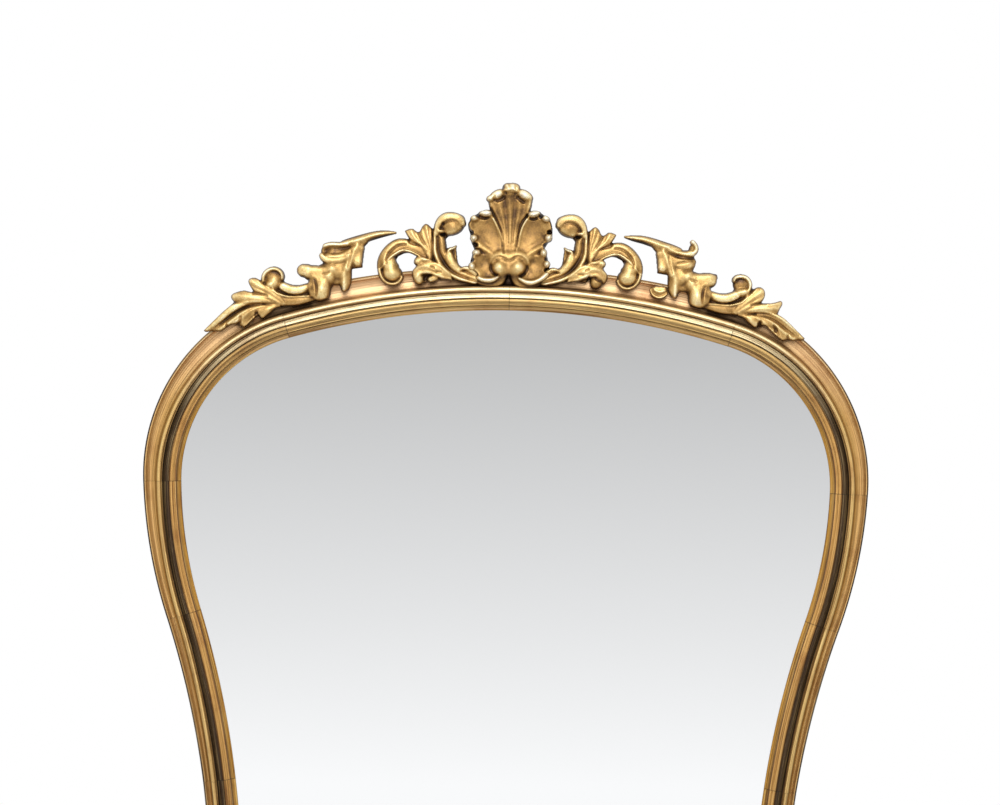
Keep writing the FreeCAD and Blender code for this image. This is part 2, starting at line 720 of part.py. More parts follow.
def strap():
    """Right strap: a plate with a rolled knuckle at its inner end and a round outer end."""
    axis = hinge_place()
    half = STRAP_WIDTH / 2
    reach = STRAP_LENGTH - half
    plate = Part.makeBox(reach, STRAP_THICKNESS, STRAP_WIDTH, V(axis.x, REAR_Y, axis.z - half))
    end = Part.makeCylinder(half, STRAP_THICKNESS, V(axis.x + reach, REAR_Y, axis.z), V(0, 1, 0))
    foot = V(axis.x, axis.y, axis.z - half)
    knuckle = Part.makeCylinder(knuckle_radius(), STRAP_WIDTH, foot)
    bore_start = foot - V(0, 0, OVERRUN)
    bore = Part.makeCylinder(RING_WIRE_RADIUS + HINGE_CLEARANCE, STRAP_WIDTH + 2 * OVERRUN,
                             bore_start)
    return plate.fuse(end).fuse(knuckle).removeSplitter().cut(bore)


def ring():
    """Right ring: a D of wire whose straight bar turns in the strap's knuckle."""
    axis = hinge_place()
    corner_z = RING_HALF_WIDTH - RING_CORNER
    wire = RING_WIRE_RADIUS
    bar = Part.makeCylinder(wire, 2 * corner_z, axis - V(0, 0, corner_z))
    pieces = []
    bow_x = axis.x - RING_CORNER - RING_LEG
    for side in (1, -1):
        bend_at = V(axis.x - RING_CORNER, axis.y, axis.z + side * corner_z)
        bend = Part.makeTorus(RING_CORNER, wire, bend_at, V(0, -1, 0))
        keep = Part.makeBox(2 * RING_CORNER, 2 * RING_CORNER, RING_CORNER + wire,
                            bend_at - V(0, RING_CORNER, 0))
        if side < 0:
            keep.translate(V(0, 0, -RING_CORNER - wire))
        pieces.append(bend.common(keep))
        leg = V(axis.x - RING_CORNER, axis.y, axis.z + side * RING_HALF_WIDTH)
        pieces.append(Part.makeCylinder(wire, RING_LEG, leg, V(-1, 0, 0)))
    bow = Part.makeTorus(RING_HALF_WIDTH, wire, V(bow_x, axis.y, axis.z), V(0, -1, 0))
    reach = RING_HALF_WIDTH + 2 * wire
    half = Part.makeBox(reach, 2 * reach, 2 * reach, V(bow_x - reach, axis.y - reach,
                                                       axis.z - reach))
    pieces.append(bow.common(half))
    return bar.fuse(pieces).removeSplitter()


def hanger_screws(extra):
    """Two screws in the right strap, or the holes that they need."""
    axis = hinge_place()
    outer = REAR_Y + STRAP_THICKNESS
    found = []
    for offset in HANGER_SCREW_PLACES:
        top = V(axis.x + offset, outer, axis.z)
        shank = Part.makeCylinder(HANGER_SCREW_RADIUS + extra, HANGER_SCREW_LENGTH + extra,
                                  top, V(0, -1, 0))
        if extra:
            found.append(shank)
            continue
        head = Part.makeCylinder(HANGER_HEAD_RADIUS, HANGER_HEAD_THICKNESS, top, V(0, 1, 0))
        found.append(shank.fuse(head).removeSplitter())
    return found


def cut_near(shape, tools):
    """Shape less the tools whose boxes meet its own."""
    near = [tool for tool in tools if shape.BoundBox.intersect(tool.BoundBox)]
    return shape.cut(near) if near else shape


def group(solids):
    """Separate solids as one node."""
    return Part.makeCompound(solids)


def bored(pieces, tools):
    """The same pieces with every near tool cut out."""
    return {name: cut_near(shape, tools) for name, shape in pieces.items()}


def hanger_nodes():
    """Straps, rings and screws on both sides."""
    right_strap = cut_near(strap(), hanger_screws(SCREW_CLEARANCE))
    right_ring = ring()
    screws = hanger_screws(0)
    return {"hanger_strap_right": right_strap, "hanger_strap_left": mirrored(right_strap),
            "hanger_ring_right": right_ring, "hanger_ring_left": mirrored(right_ring),
            "hanger_screws": group(screws + [mirrored(screw) for screw in screws])}


def crest_nodes(frame):
    """Carved pieces, their backings, braces and fixings, with every hole."""
    shell = crest_shell()
    scroll = crest_scroll(shell)
    spray = crest_spray(scroll)
    pin_holes = crest_pins(DOWEL_CLEARANCE)
    screw_holes = brace_screws(SCREW_CLEARANCE)
    carved = {"crest_shell": shell, "crest_scroll_right": scroll,
              "crest_scroll_left": mirrored(scroll), "crest_spray_right": spray,
              "crest_spray_left": mirrored(spray)}
    nodes = bored(carved, pin_holes)
    nodes.update(bored(crest_backings(frame), pin_holes + screw_holes))
    nodes.update(bored(braces(0), screw_holes))
    nodes["brace_screws"] = group(brace_screws(0))
    nodes["crest_pins"] = group(crest_pins(0))
    return nodes


def build():
    """Every node of the mirror by name."""
    frame = ring_pieces("", moulding_section)
    slips = ring_pieces("slip_", lambda width: slip_section())
    nail_solids, nail_holes = nails()
    screw_holes = hanger_screws(SCREW_CLEARANCE)
    screw_holes += [mirrored(hole) for hole in screw_holes]
    housings = list(braces(BRACE_CLEARANCE).values())
    tools = (dowels(DOWEL_CLEARANCE) + nail_holes + screw_holes + housings
             + brace_screws(SCREW_CLEARANCE) + crest_pins(DOWEL_CLEARANCE))
    nodes = bored(frame, tools)
    nodes.update(slips)
    nodes["mirror_plate"] = ring_slab(PLATE_LAP, PLATE_FRONT - PLATE_THICKNESS, PLATE_FRONT)
    nodes["glue_blocks"] = group(glue_blocks())
    nodes.update(bored(backboards(), nail_holes))
    nodes["backboard_nails"] = group(nail_solids)
    nodes["joint_dowels"] = group(dowels(0))
    nodes.update(crest_nodes(frame))
    nodes.update(hanger_nodes())
    return nodes


def main():
    """Write one STEP file for each node and print its measures."""
    os.makedirs("parts", exist_ok=True)
    for name, shape in build().items():
        box = shape.optimalBoundingBox()
        print("%-22s solids %2d valid %s volume %10.0f  x %7.1f %7.1f  y %6.1f %6.1f  z %7.1f %7.1f"
              % (name, len(shape.Solids), shape.isValid(), shape.Volume, box.XMin, box.XMax,
                 box.YMin, box.YMax, box.ZMin, box.ZMax))
        shape.exportStep("parts/" + name + ".step")
    hinge = hinge_place()
    print("sight top %.2f corner %.2f %.2f hinge %.3f %.3f %.3f"
          % (SIGHT_TOP, CORNER[0], CORNER[1], hinge.x, hinge.y, hinge.z))


if __name__ == "__main__":
    main()
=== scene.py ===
"""Looks of the giltwood overmantel mirror: gilt mouldings, carved crest, looking glass and pine back.

Every piece is worked out in the frame's own metres: X across, Z up, front towards -Y. A place on
the frame is w outward from the sight edge and d forward of the rear face. A place on the carving
is a mark: across and up, in thousandths of the box that holds it.
"""
import json
import logging
import math
from dataclasses import dataclass, field
from enum import Enum

import bmesh
import bpy
import numpy as np
from mathutils import Matrix, Vector


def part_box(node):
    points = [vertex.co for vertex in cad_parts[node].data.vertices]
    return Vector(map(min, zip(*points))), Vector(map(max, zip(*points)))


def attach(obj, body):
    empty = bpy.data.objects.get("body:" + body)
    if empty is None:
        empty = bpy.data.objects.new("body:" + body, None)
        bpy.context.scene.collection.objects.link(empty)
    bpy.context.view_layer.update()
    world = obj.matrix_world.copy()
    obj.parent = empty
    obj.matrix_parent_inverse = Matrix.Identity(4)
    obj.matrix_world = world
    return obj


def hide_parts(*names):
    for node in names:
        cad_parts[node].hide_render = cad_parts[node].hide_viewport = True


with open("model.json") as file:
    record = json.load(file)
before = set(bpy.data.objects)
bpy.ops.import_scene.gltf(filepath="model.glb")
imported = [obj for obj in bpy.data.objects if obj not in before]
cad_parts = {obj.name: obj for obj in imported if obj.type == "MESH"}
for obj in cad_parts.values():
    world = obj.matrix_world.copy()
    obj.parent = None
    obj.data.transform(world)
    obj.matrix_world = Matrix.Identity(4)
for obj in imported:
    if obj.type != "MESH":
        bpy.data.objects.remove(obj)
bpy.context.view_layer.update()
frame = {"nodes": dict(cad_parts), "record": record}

log = logging.getLogger("overmantel")
MM = 0.001
BODY = "mirror"
SIDES = {"left": -1.0, "right": 1.0}


def linear(hex_colour: str) -> tuple[float, float, float, float]:
    """Turn an sRGB hex colour into linear light.

    Args:
        hex_colour: six hex digits, such as "c89a50".

    Returns:
        Linear red, green and blue, and an alpha of 1.
    """
    raw = np.array([int(hex_colour[i:i + 2], 16) for i in (0, 2, 4)]) / 255
    out = np.where(raw <= 0.04045, raw / 12.92, ((raw + 0.055) / 1.055) ** 2.4)
    return (*out.tolist(), 1.0)


def per_metre(size_mm: float) -> float:
    """How often a pattern of a size in millimetres repeats in a metre."""
    return 1 / (size_mm * MM)


def add_node(tree: bpy.types.NodeTree, kind: str, settings: dict | None = None, values: dict | None = None,
             links: dict | None = None, stops: tuple = ()) -> bpy.types.Node:
    """Add one shader node.

    Args:
        tree: the node tree.
        kind: the node's type name without "ShaderNode".
        settings: properties of the node by name.
        values: values of its inputs by name or number.
        links: what feeds its inputs, by input name or number: a socket, or a node's first output.
        stops: position and colour of a ramp's stops, the colour as sRGB hex or as linear light.

    Returns:
        The node.
    """
    node = tree.nodes.new("ShaderNode" + kind)
    for name, value in (settings or {}).items():
        setattr(node, name, value)
    for name, value in (values or {}).items():
        node.inputs[name].default_value = value
    for name, source in (links or {}).items():
        tree.links.new(source.outputs[0] if isinstance(source, bpy.types.Node) else source, node.inputs[name])
    for index, (position, colour) in enumerate(stops):
        elements = node.color_ramp.elements
        spot = elements[index] if index < 2 else elements.new(position)
        spot.position = position
        spot.color = linear(colour) if isinstance(colour, str) else colour
    return node


def new_material(name: str) -> tuple[bpy.types.Material, bpy.types.NodeTree]:
    """Make an empty node material.

    Args:
        name: the finish's name.

    Returns:
        The material and its tree.
    """
    material = bpy.data.materials.new(name)
    material.use_nodes = True
    material.node_tree.nodes.clear()
    return material, material.node_tree


def mesh_object(name: str, points: np.ndarray, faces: list[list[int]], node: str,
                material: bpy.types.Material, sharp_degrees: float) -> bpy.types.Object:
    """Put computed points and faces into the scene as a finished closed piece, faces outward.

    Args:
        name: the piece's name.
        points: (N, 3) places in metres.
        faces: point numbers of each face.
        node: the frame's node that the piece stands for.
        material: its finish.
        sharp_degrees: edges that turn by more than this are shaded sharp.

    Returns:
        The object.
    """
    mesh = bpy.data.meshes.new(name)
    mesh.from_pydata(points.tolist(), [], faces)
    mesh.validate()
    work = bmesh.new()
    work.from_mesh(mesh)
    bmesh.ops.recalc_face_normals(work, faces=work.faces)
    work.to_mesh(mesh)
    work.free()
    mesh.update()
    mesh.materials.append(material)
    mesh.polygons.foreach_set("use_smooth", np.ones(len(mesh.polygons), dtype=bool))
    mesh.set_sharp_from_angle(angle=math.radians(sharp_degrees))
    piece = bpy.data.objects.new(name, mesh)
    bpy.context.collection.objects.link(piece)
    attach(piece, BODY)
    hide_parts(node)
    log.info("%s: %d faces", name, len(mesh.polygons))
    return piece


def tube_faces(rows: int, columns: int) -> np.ndarray:
    """Quads round a tube whose point (i, j) has the index i * columns + j; the last column meets the first.

    Args:
        rows: rings along the tube.
        columns: points in each ring.

    Returns:
        (M, 4) indices.
    """
    i = np.arange(rows - 1)[:, None] * columns
    j = np.arange(columns)[None, :]
    after = (j + 1) % columns
    return np.stack([i + j, i + after, i + columns + after, i + columns + j], axis=-1).reshape(-1, 4)


@dataclass(frozen=True)
class Run:
    """One stretch of the sight edge: an arc, or a straight where the turn is zero."""

    start: tuple[float, float]
    heading: float
    radius: float
    turn: float
    length: float

    def normals(self, shares: np.ndarray) -> np.ndarray:
        """Unit vectors out of the glass: the heading less its turn so far, plus a quarter turn."""
        angle = np.radians(self.heading - self.turn * shares + 90.0)
        return np.stack([np.cos(angle), np.sin(angle)], axis=-1)

    def points(self, shares: np.ndarray) -> np.ndarray:
        """Places (x, z): the arc's centre plus its radius along the normal, or the way along a straight.

        Args:
            shares: shares of the run.

        Returns:
            (N, 2) places in millimetres.
        """
        first = self.normals(np.zeros(1))[0]
        if not self.turn:
            return np.array(self.start) + np.outer(shares * self.length, [first[1], -first[0]])
        reach = math.copysign(self.radius, self.turn)
        return np.array(self.start) - first * reach + self.normals(shares) * reach

    @property
    def span(self) -> float:
        """Length of the run along the sight edge in millimetres."""
        return self.length or self.radius * abs(math.radians(self.turn))


@dataclass(frozen=True)
class SightEdge:
    """The edge where the glass begins to show, from the middle of the crown to the base rail: arcs
    by radius in millimetres and turn in degrees, then a straight toe down to the base rail."""

    crown: tuple[float, float] = (1360.0, 16.4)
    shoulder: tuple[float, float] = (257.0, 75.3)
    flank: tuple[float, float] = (810.0, 16.2)
    waist: tuple[float, float] = (1678.0, -10.3)
    foot: tuple[float, float] = (1678.0, -14.6)
    toe: float = 72.0
    base_width: float = 56.0

    def runs(self) -> dict[str, Run]:
        """Walk the edge twice: once to find the drop, once from the true top.

        Returns:
            The runs by name.
        """
        arcs = {"crown": self.crown, "shoulder": self.shoulder, "flank": self.flank, "waist": self.waist,
                "foot": self.foot}
        table = {name: (*arc, 0.0) for name, arc in arcs.items()} | {"toe": (0.0, 0.0, self.toe)}
        found: dict[str, Run] = {}
        top = 0.0
        for _ in range(2):
            start, heading = (0.0, top), 0.0
            for name, (radius, turn, length) in table.items():
                found[name] = Run(start, heading, radius, turn, length)
                start = tuple(found[name].points(np.ones(1))[0])
                heading -= turn
            top = self.base_width - (start[1] - top) if not top else top
        found["base"] = Run(start, 180.0, 0.0, 0.0, 2 * start[0])
        return found


EDGE = SightEdge()
RUNS = EDGE.runs()
SIGHT_TOP = RUNS["crown"].start[1]
REAR_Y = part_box("base_rail")[1][1] / MM


def place(x: np.ndarray, z: np.ndarray, d: np.ndarray) -> np.ndarray:
    """Millimetres across, up and forward of the rear face, as frame places in metres."""
    return np.stack(np.broadcast_arrays(x, REAR_Y - d, z), axis=-1) * MM


class Blend(Enum):
    """How a layer of wear joins the colour beneath it."""

    DARKEN = "MULTIPLY"
    LIGHTEN = "SCREEN"


@dataclass(frozen=True)
class Layer:
    """A layer of wear: none where its pattern has the value start, its full strength at end."""

    pattern: str
    start: float
    end: float
    strength: float
    blend: Blend
    colour: str


def layered(tree: bpy.types.NodeTree, colour: bpy.types.Node, layers: tuple[Layer, ...],
            patterns: dict[str, bpy.types.Node]) -> bpy.types.Node:
    """Lay wear over a colour, each layer mixed in by its pattern's value.

    Args:
        tree: the node tree.
        colour: the node that gives the colour beneath.
        layers: the layers, lowest first.
        patterns: the node of each pattern by name.

    Returns:
        The node that gives the worn colour.
    """
    for layer in layers:
        share = add_node(tree, "MapRange", links={0: patterns[layer.pattern]}, values={
            "From Min": layer.start, "From Max": layer.end, "To Max": layer.strength})
        colour = add_node(tree, "MixRGB", {"blend_type": layer.blend.value}, {2: linear(layer.colour)},
                          {0: share, 1: colour})
    return colour


@dataclass(frozen=True)
class GiltMoulding:
    """Water gilding on gesso and bole over pine: warm metal, rubbed to red on the arrises and
    dark in the hollows, partly with grime and partly with painted shade. The bands follow the section,
    and streaks run along it: the crown's colours are lit, with painted highlights, the flanks' a copy in
    painted shade with ageing.

    A burnisher's marks are some tenths of a millimetre wide, too fine for the render, so the
    streaks and scratches are drawn 1.5 to 2.2 mm wide. Roughness and bump are least and most,
    and strength and height in millimetres.
    """

    name: str
    bands: tuple[tuple[float, str], ...]
    shaded_aged_bands: tuple[tuple[float, str], ...]
    streak_width_mm: float = 2.2
    streak_length_mm: float = 240.0
    scratch_width_mm: float = 1.5
    scratch_length_mm: float = 70.0
    patch_mm: float = 55.0
    wobble: float = 0.04
    layers: tuple[Layer, ...] = (
        Layer("patches", 0.52, 0.74, 0.55, Blend.DARKEN, "b98a5a"),
        Layer("streaks", 0.51, 0.34, 0.9, Blend.DARKEN, "7c5a32"),
        Layer("streaks", 0.54, 0.68, 0.75, Blend.LIGHTEN, "a08a5c"),
        Layer("scratches", 0.40, 0.30, 0.85, Blend.DARKEN, "5a4020"),
        Layer("scratches", 0.60, 0.72, 0.8, Blend.LIGHTEN, "a88f62"))
    # The darkening colour, for the joints' grime and for the painted shadow under the carvings.
    dirt_and_shadow_colour: str = "3c2a18"
    roughness: tuple[float, float] = (0.32, 0.60)
    metallic: float = 0.62
    bump: tuple[float, float] = (0.35, 0.6)

    def build(self) -> bpy.types.Material:
        """Colour from the place across the section, a lit crown ramp and a flank ramp in painted shade mixed
        by the sideways lean, broken by streaks and rubbed patches.

        Returns:
            The material.
        """
        material, tree = new_material(self.name)
        uv = add_node(tree, "UVMap", {"uv_map": "section"})
        coords = add_node(tree, "TexCoord").outputs["Object"]
        band, age, dirt = (add_node(tree, "Attribute", {"attribute_name": name}).outputs["Fac"]
                           for name in ("band", "age", "dirt"))
        streak_map = add_node(tree, "Mapping", values={"Scale": (
            per_metre(self.streak_length_mm), per_metre(self.streak_width_mm), 1.0)}, links={0: uv})
        streaks = add_node(tree, "TexNoise", values={"Scale": 1.0, "Detail": 5.0, "Roughness": 0.62},
                           links={0: streak_map})
        patches = add_node(tree, "TexNoise", values={"Scale": per_metre(self.patch_mm), "Detail": 4.0,
                                                     "Roughness": 0.6}, links={0: coords})
        scratch_map = add_node(tree, "Mapping", values={"Location": (3.0, 7.0, 0.0), "Scale": (
            per_metre(self.scratch_length_mm), per_metre(self.scratch_width_mm), 1.0)}, links={0: uv})
        scratches = add_node(tree, "TexNoise", values={"Scale": 1.0, "Detail": 3.0, "Roughness": 0.7},
                             links={0: scratch_map})
        wobble = add_node(tree, "Math", {"operation": "MULTIPLY_ADD"}, {1: self.wobble, 2: -self.wobble / 2},
                          {0: streaks})
        across = add_node(tree, "Math", {"operation": "ADD"}, links={0: band, 1: wobble})
        # Lit and shaded copies of the gold: the crown's ramp holds painted highlights, the flanks' ramp
        # painted shade with ageing.
        lit_crown = add_node(tree, "ValToRGB", links={0: across}, stops=self.bands)
        shaded_aged = add_node(tree, "ValToRGB", links={0: across}, stops=self.shaded_aged_bands)
        gold = add_node(tree, "MixRGB", links={0: age, 1: lit_crown, 2: shaded_aged})
        worn = layered(tree, gold, self.layers,
                       {"patches": patches, "streaks": streaks, "scratches": scratches})
        # Darkened by grime at the joints and by painted shadow under the carvings.
        dirty_and_shaded = add_node(tree, "MixRGB", {"blend_type": Blend.DARKEN.value}, {2: linear(self.dirt_and_shadow_colour)},
                         {0: dirt, 1: worn})
        rough = add_node(tree, "MapRange", values={"To Min": self.roughness[0], "To Max": self.roughness[1]},
                         links={0: streaks})
        bump = add_node(tree, "Bump", values={"Strength": self.bump[0], "Distance": self.bump[1] * MM},
                        links={"Height": streaks})
        shader = add_node(tree, "BsdfPrincipled", values={"Metallic": self.metallic},
                          links={"Base Color": dirty_and_shaded, "Roughness": rough, "Normal": bump})
        add_node(tree, "OutputMaterial", links={0: shader})
        return material


@dataclass(frozen=True)
class GiltCarving:
    """Oil and water gilding on carved wood, with red bole showing in worn patches. Its colour
    follows the relief: painted highlights on the swellings, painted shade with grime in the cuts.

    The grain of gesso and tool marks is finer than a pixel, so it is drawn 2.2 mm wide. The
    gains say how far patches and grain move the colour, patch_shift by how much at least.
    """

    name: str = "gilt_carving"
    # From the deep cuts, dark with painted shade and grime, to the sharp swellings, cream with painted
    # highlights.
    stops: tuple[tuple[float, str], ...] = (
        (0.0, "1f1208"), (0.24, "50361a"), (0.40, "94703a"), (0.54, "bf9a5e"), (0.68, "e0c78c"),
        (0.82, "fbf0cc"), (1.0, "fffae8"))
    patch_mm: float = 16.0
    grain_mm: float = 2.2
    patch_gain: float = 0.46
    patch_shift: float = -0.25
    grain_gain: float = 0.22
    layers: tuple[Layer, ...] = (Layer("patches", 0.56, 0.72, 0.5, Blend.DARKEN, "c08a55"),)
    roughness: tuple[float, float] = (0.28, 0.56)
    metallic: float = 0.6
    bump: tuple[float, float] = (0.3, 0.5)

    def build(self) -> bpy.types.Material:
        """Colour from the relief attribute, which paints highlights on the swellings and shade with grime in
        the cuts, broken by patches of two sizes.

        Returns:
            The material.
        """
        material, tree = new_material(self.name)
        relief = add_node(tree, "Attribute", {"attribute_name": "relief"}).outputs["Fac"]
        coords = add_node(tree, "TexCoord").outputs["Object"]
        patches = add_node(tree, "TexNoise", values={"Scale": per_metre(self.patch_mm), "Detail": 5.0,
                                                     "Roughness": 0.6}, links={0: coords})
        grain = add_node(tree, "TexNoise", values={"Scale": per_metre(self.grain_mm), "Detail": 3.0},
                         links={0: coords})
        shift = add_node(tree, "Math", {"operation": "MULTIPLY_ADD"},
                         {1: self.patch_gain, 2: self.patch_shift}, {0: patches})
        speckle = add_node(tree, "Math", {"operation": "MULTIPLY_ADD"},
                           {1: self.grain_gain, 2: -self.grain_gain / 2}, {0: grain})
        both = add_node(tree, "Math", {"operation": "ADD"}, links={0: shift, 1: speckle})
        level = add_node(tree, "Math", {"operation": "ADD"}, links={0: relief, 1: both})
        gold = add_node(tree, "ValToRGB", links={0: level}, stops=self.stops)
        worn = layered(tree, gold, self.layers, {"patches": patches})
        rough = add_node(tree, "MapRange", values={"To Min": self.roughness[0], "To Max": self.roughness[1]},
                         links={0: grain})
        bump = add_node(tree, "Bump", values={"Strength": self.bump[0], "Distance": self.bump[1] * MM},
                        links={"Height": grain})
        shader = add_node(tree, "BsdfPrincipled", values={"Metallic": self.metallic},
                          links={"Base Color": worn, "Roughness": rough, "Normal": bump})
        add_node(tree, "OutputMaterial", links={0: shader})
        return material


@dataclass(frozen=True)
class SilveredGlass:
    """Plate glass silvered on its rear: a clean mirror, very slightly grey, whose gloss a faint
    film breaks a little."""

    name: str = "silvered_glass"
    colour: str = "f4f5f6"
    film_mm: float = 180.0
    roughness: tuple[float, float] = (0.015, 0.045)

    def build(self) -> bpy.types.Material:
        """A smooth metal, whose roughness follows the film.

        Returns:
            The material.
        """
        material, tree = new_material(self.name)
        film = add_node(tree, "TexNoise", values={"Scale": per_metre(self.film_mm), "Detail": 3.0},
                        links={0: add_node(tree, "TexCoord").outputs["Object"]})
        haze = add_node(tree, "MapRange", values={"To Min": self.roughness[0], "To Max": self.roughness[1]},
                        links={0: film})
        shader = add_node(tree, "BsdfPrincipled", values={"Base Color": linear(self.colour), "Metallic": 1.0},
                          links={"Roughness": haze})
        add_node(tree, "OutputMaterial", links={0: shader})
        return material


@dataclass(frozen=True)
class BarePine:
    """Old unpainted pine: brown with age and dust, growth rings along the board.

    Rings of 1 to 3 mm would be lost in the render, so they are drawn ring_mm wide. The offset
    moves the pattern, so that no two boards show the same rings.
    """

    name: str
    pale: str
    dark: str
    ring_mm: float = 7.0
    ring_stretch: float = 26.0
    offset: float = 0.0
    fibre_width_mm: float = 0.9
    fibre_length_mm: float = 40.0
    fibre_share: float = 0.35
    dust_mm: float = 160.0
    layers: tuple[Layer, ...] = (Layer("dust", 0.45, 0.7, 0.6, Blend.DARKEN, "8d7a66"),)
    roughness: float = 0.78
    bump: tuple[float, float] = (0.4, 0.5)

    def build(self) -> bpy.types.Material:
        """Long noise along Z drawn into rings, with fine fibres and dust over it.

        Returns:
            The material.
        """
        material, tree = new_material(self.name)
        coords = add_node(tree, "TexCoord").outputs["Object"]
        ring, fibre = per_metre(self.ring_mm), per_metre(self.fibre_width_mm)
        ring_map = add_node(tree, "Mapping", values={
            "Location": (self.offset, 0.0, self.offset),
            "Scale": (ring, ring, per_metre(self.ring_mm * self.ring_stretch))}, links={0: coords})
        rings = add_node(tree, "TexNoise", values={"Scale": 1.0, "Detail": 2.0, "Distortion": 0.8},
                         links={0: ring_map})
        fibre_map = add_node(tree, "Mapping", links={0: coords}, values={
            "Scale": (fibre, fibre, per_metre(self.fibre_length_mm))})
        fibres = add_node(tree, "TexNoise", values={"Scale": 1.0, "Detail": 3.0}, links={0: fibre_map})
        dust = add_node(tree, "TexNoise", values={"Scale": per_metre(self.dust_mm), "Detail": 5.0},
                        links={0: coords})
        mixed = add_node(tree, "Math", {"operation": "MULTIPLY_ADD"}, {1: self.fibre_share},
                         {0: fibres, 2: rings})
        wood = add_node(tree, "ValToRGB", links={0: mixed}, stops=((0.45, self.dark), (0.78, self.pale)))
        dusty = layered(tree, wood, self.layers, {"dust": dust})
        bump = add_node(tree, "Bump", values={"Strength": self.bump[0], "Distance": self.bump[1] * MM},
                        links={"Height": fibres})
        shader = add_node(tree, "BsdfPrincipled", values={"Roughness": self.roughness},
                          links={"Base Color": dusty, "Normal": bump})
        add_node(tree, "OutputMaterial", links={0: shader})
        return material


@dataclass(frozen=True)
class WornMetal:
    """Small fittings of cast brass or drawn iron: a plain metal, duller where it has tarnished in
    patches of some millimetres."""

    name: str
    colour: str
    tarnish: str
    roughness: tuple[float, float]
    patch_mm: float = 5.0

    def build(self) -> bpy.types.Material:
        """Two tones and a changing gloss by patches.

        Returns:
            The material.
        """
        material, tree = new_material(self.name)
        spots = add_node(tree, "TexNoise", values={"Scale": per_metre(self.patch_mm), "Detail": 5.0},
                         links={0: add_node(tree, "TexCoord").outputs["Object"]})
        tone = add_node(tree, "ValToRGB", links={0: spots}, stops=((0.38, self.tarnish), (0.6, self.colour)))
        rough = add_node(tree, "MapRange", values={"To Min": self.roughness[1], "To Max": self.roughness[0]},
                         links={0: spots})
        shader = add_node(tree, "BsdfPrincipled", values={"Metallic": 1.0},
                          links={"Base Color": tone, "Roughness": rough})
        add_node(tree, "OutputMaterial", links={0: shader})
        return material


class Band(Enum):
    """Where each member of a moulding's section begins on the scale its colours are kept by."""

    REAR = 0.0
    GROOVE = 0.14
    FILLET = 0.26
    RIDGE = 0.36
    COVE = 0.60
    BEAD = 0.82
    SIDE = 0.92


@dataclass
class Section:
    """A moulding's section at its narrowest and its widest: w outward and d forward in
    millimetres, and the band that each point belongs to."""

    narrow: np.ndarray
    wide: np.ndarray
    bands: np.ndarray
    limits: tuple[float, float]

    def at_width(self, widths: np.ndarray) -> np.ndarray:
        """(N, M, 2) w and d between the narrow and the wide section, by N widths' share of the way."""
        share = (widths - self.limits[0]) / (self.limits[1] - self.limits[0])
        return self.narrow[None] + (self.wide - self.narrow)[None] * share[:, None, None]

    def girth(self) -> np.ndarray:
        """Distance round the widest section to each point in millimetres."""
        steps = np.linalg.norm(np.diff(self.wide, axis=0), axis=1)
        return np.concatenate([[0.0], np.cumsum(steps)])


def bowed(first: tuple[float, float], last: tuple[float, float], rise: float, count: int,
          fullness: float = 0.5) -> list[tuple[float, float]]:
    """Bow between two places: the chord plus rise times (1 - x squared) to a power, x from -1 to 1.

    Args:
        first: one end (w, d).
        last: other end.
        rise: height of the bow in d.
        count: points between the ends.
        fullness: the power; 0.5 gives a half ellipse, 1 a parabola.

    Returns:
        The points between the ends.
    """
    x = np.cos(np.linspace(math.pi, 0.0, count + 2))[1:-1]
    share = (x + 1) / 2
    chord = np.outer(1 - share, first) + np.outer(share, last)
    chord[:, 1] += rise * (1 - x ** 2) ** fullness
    return [tuple(spot) for spot in chord.tolist()]


def section_between(narrow: list[tuple[float, float, Band]], wide: list[tuple[float, float, Band]],
                    limits: tuple[float, float]) -> Section:
    """Pair two outlines of a section and spread each band's points over its stretch of the scale.

    Args:
        narrow: w, d and band of each point at the first width.
        wide: the same at the last width.
        limits: the two widths.

    Returns:
        The section.
    """
    starts = sorted(band.value for band in Band) + [1.0]
    band = np.array([spot[2].value for spot in narrow])
    scale = np.empty(len(narrow))
    for value in np.unique(band):
        inside = np.flatnonzero(band == value)
        end = starts[starts.index(value) + 1]
        scale[inside] = np.linspace(value, end, len(inside) + 1)[:-1]
    first, last = (np.array([spot[:2] for spot in points]) for points in (narrow, wide))
    return Section(first, last, scale, limits)


def banded(*parts: list[tuple[float, float]]) -> list[tuple[float, float, Band]]:
    """w, d and band of each point of a section's parts, which take the bands in turn."""
    return [(w, d, band) for band, spots in zip(Band, parts) for w, d in spots]


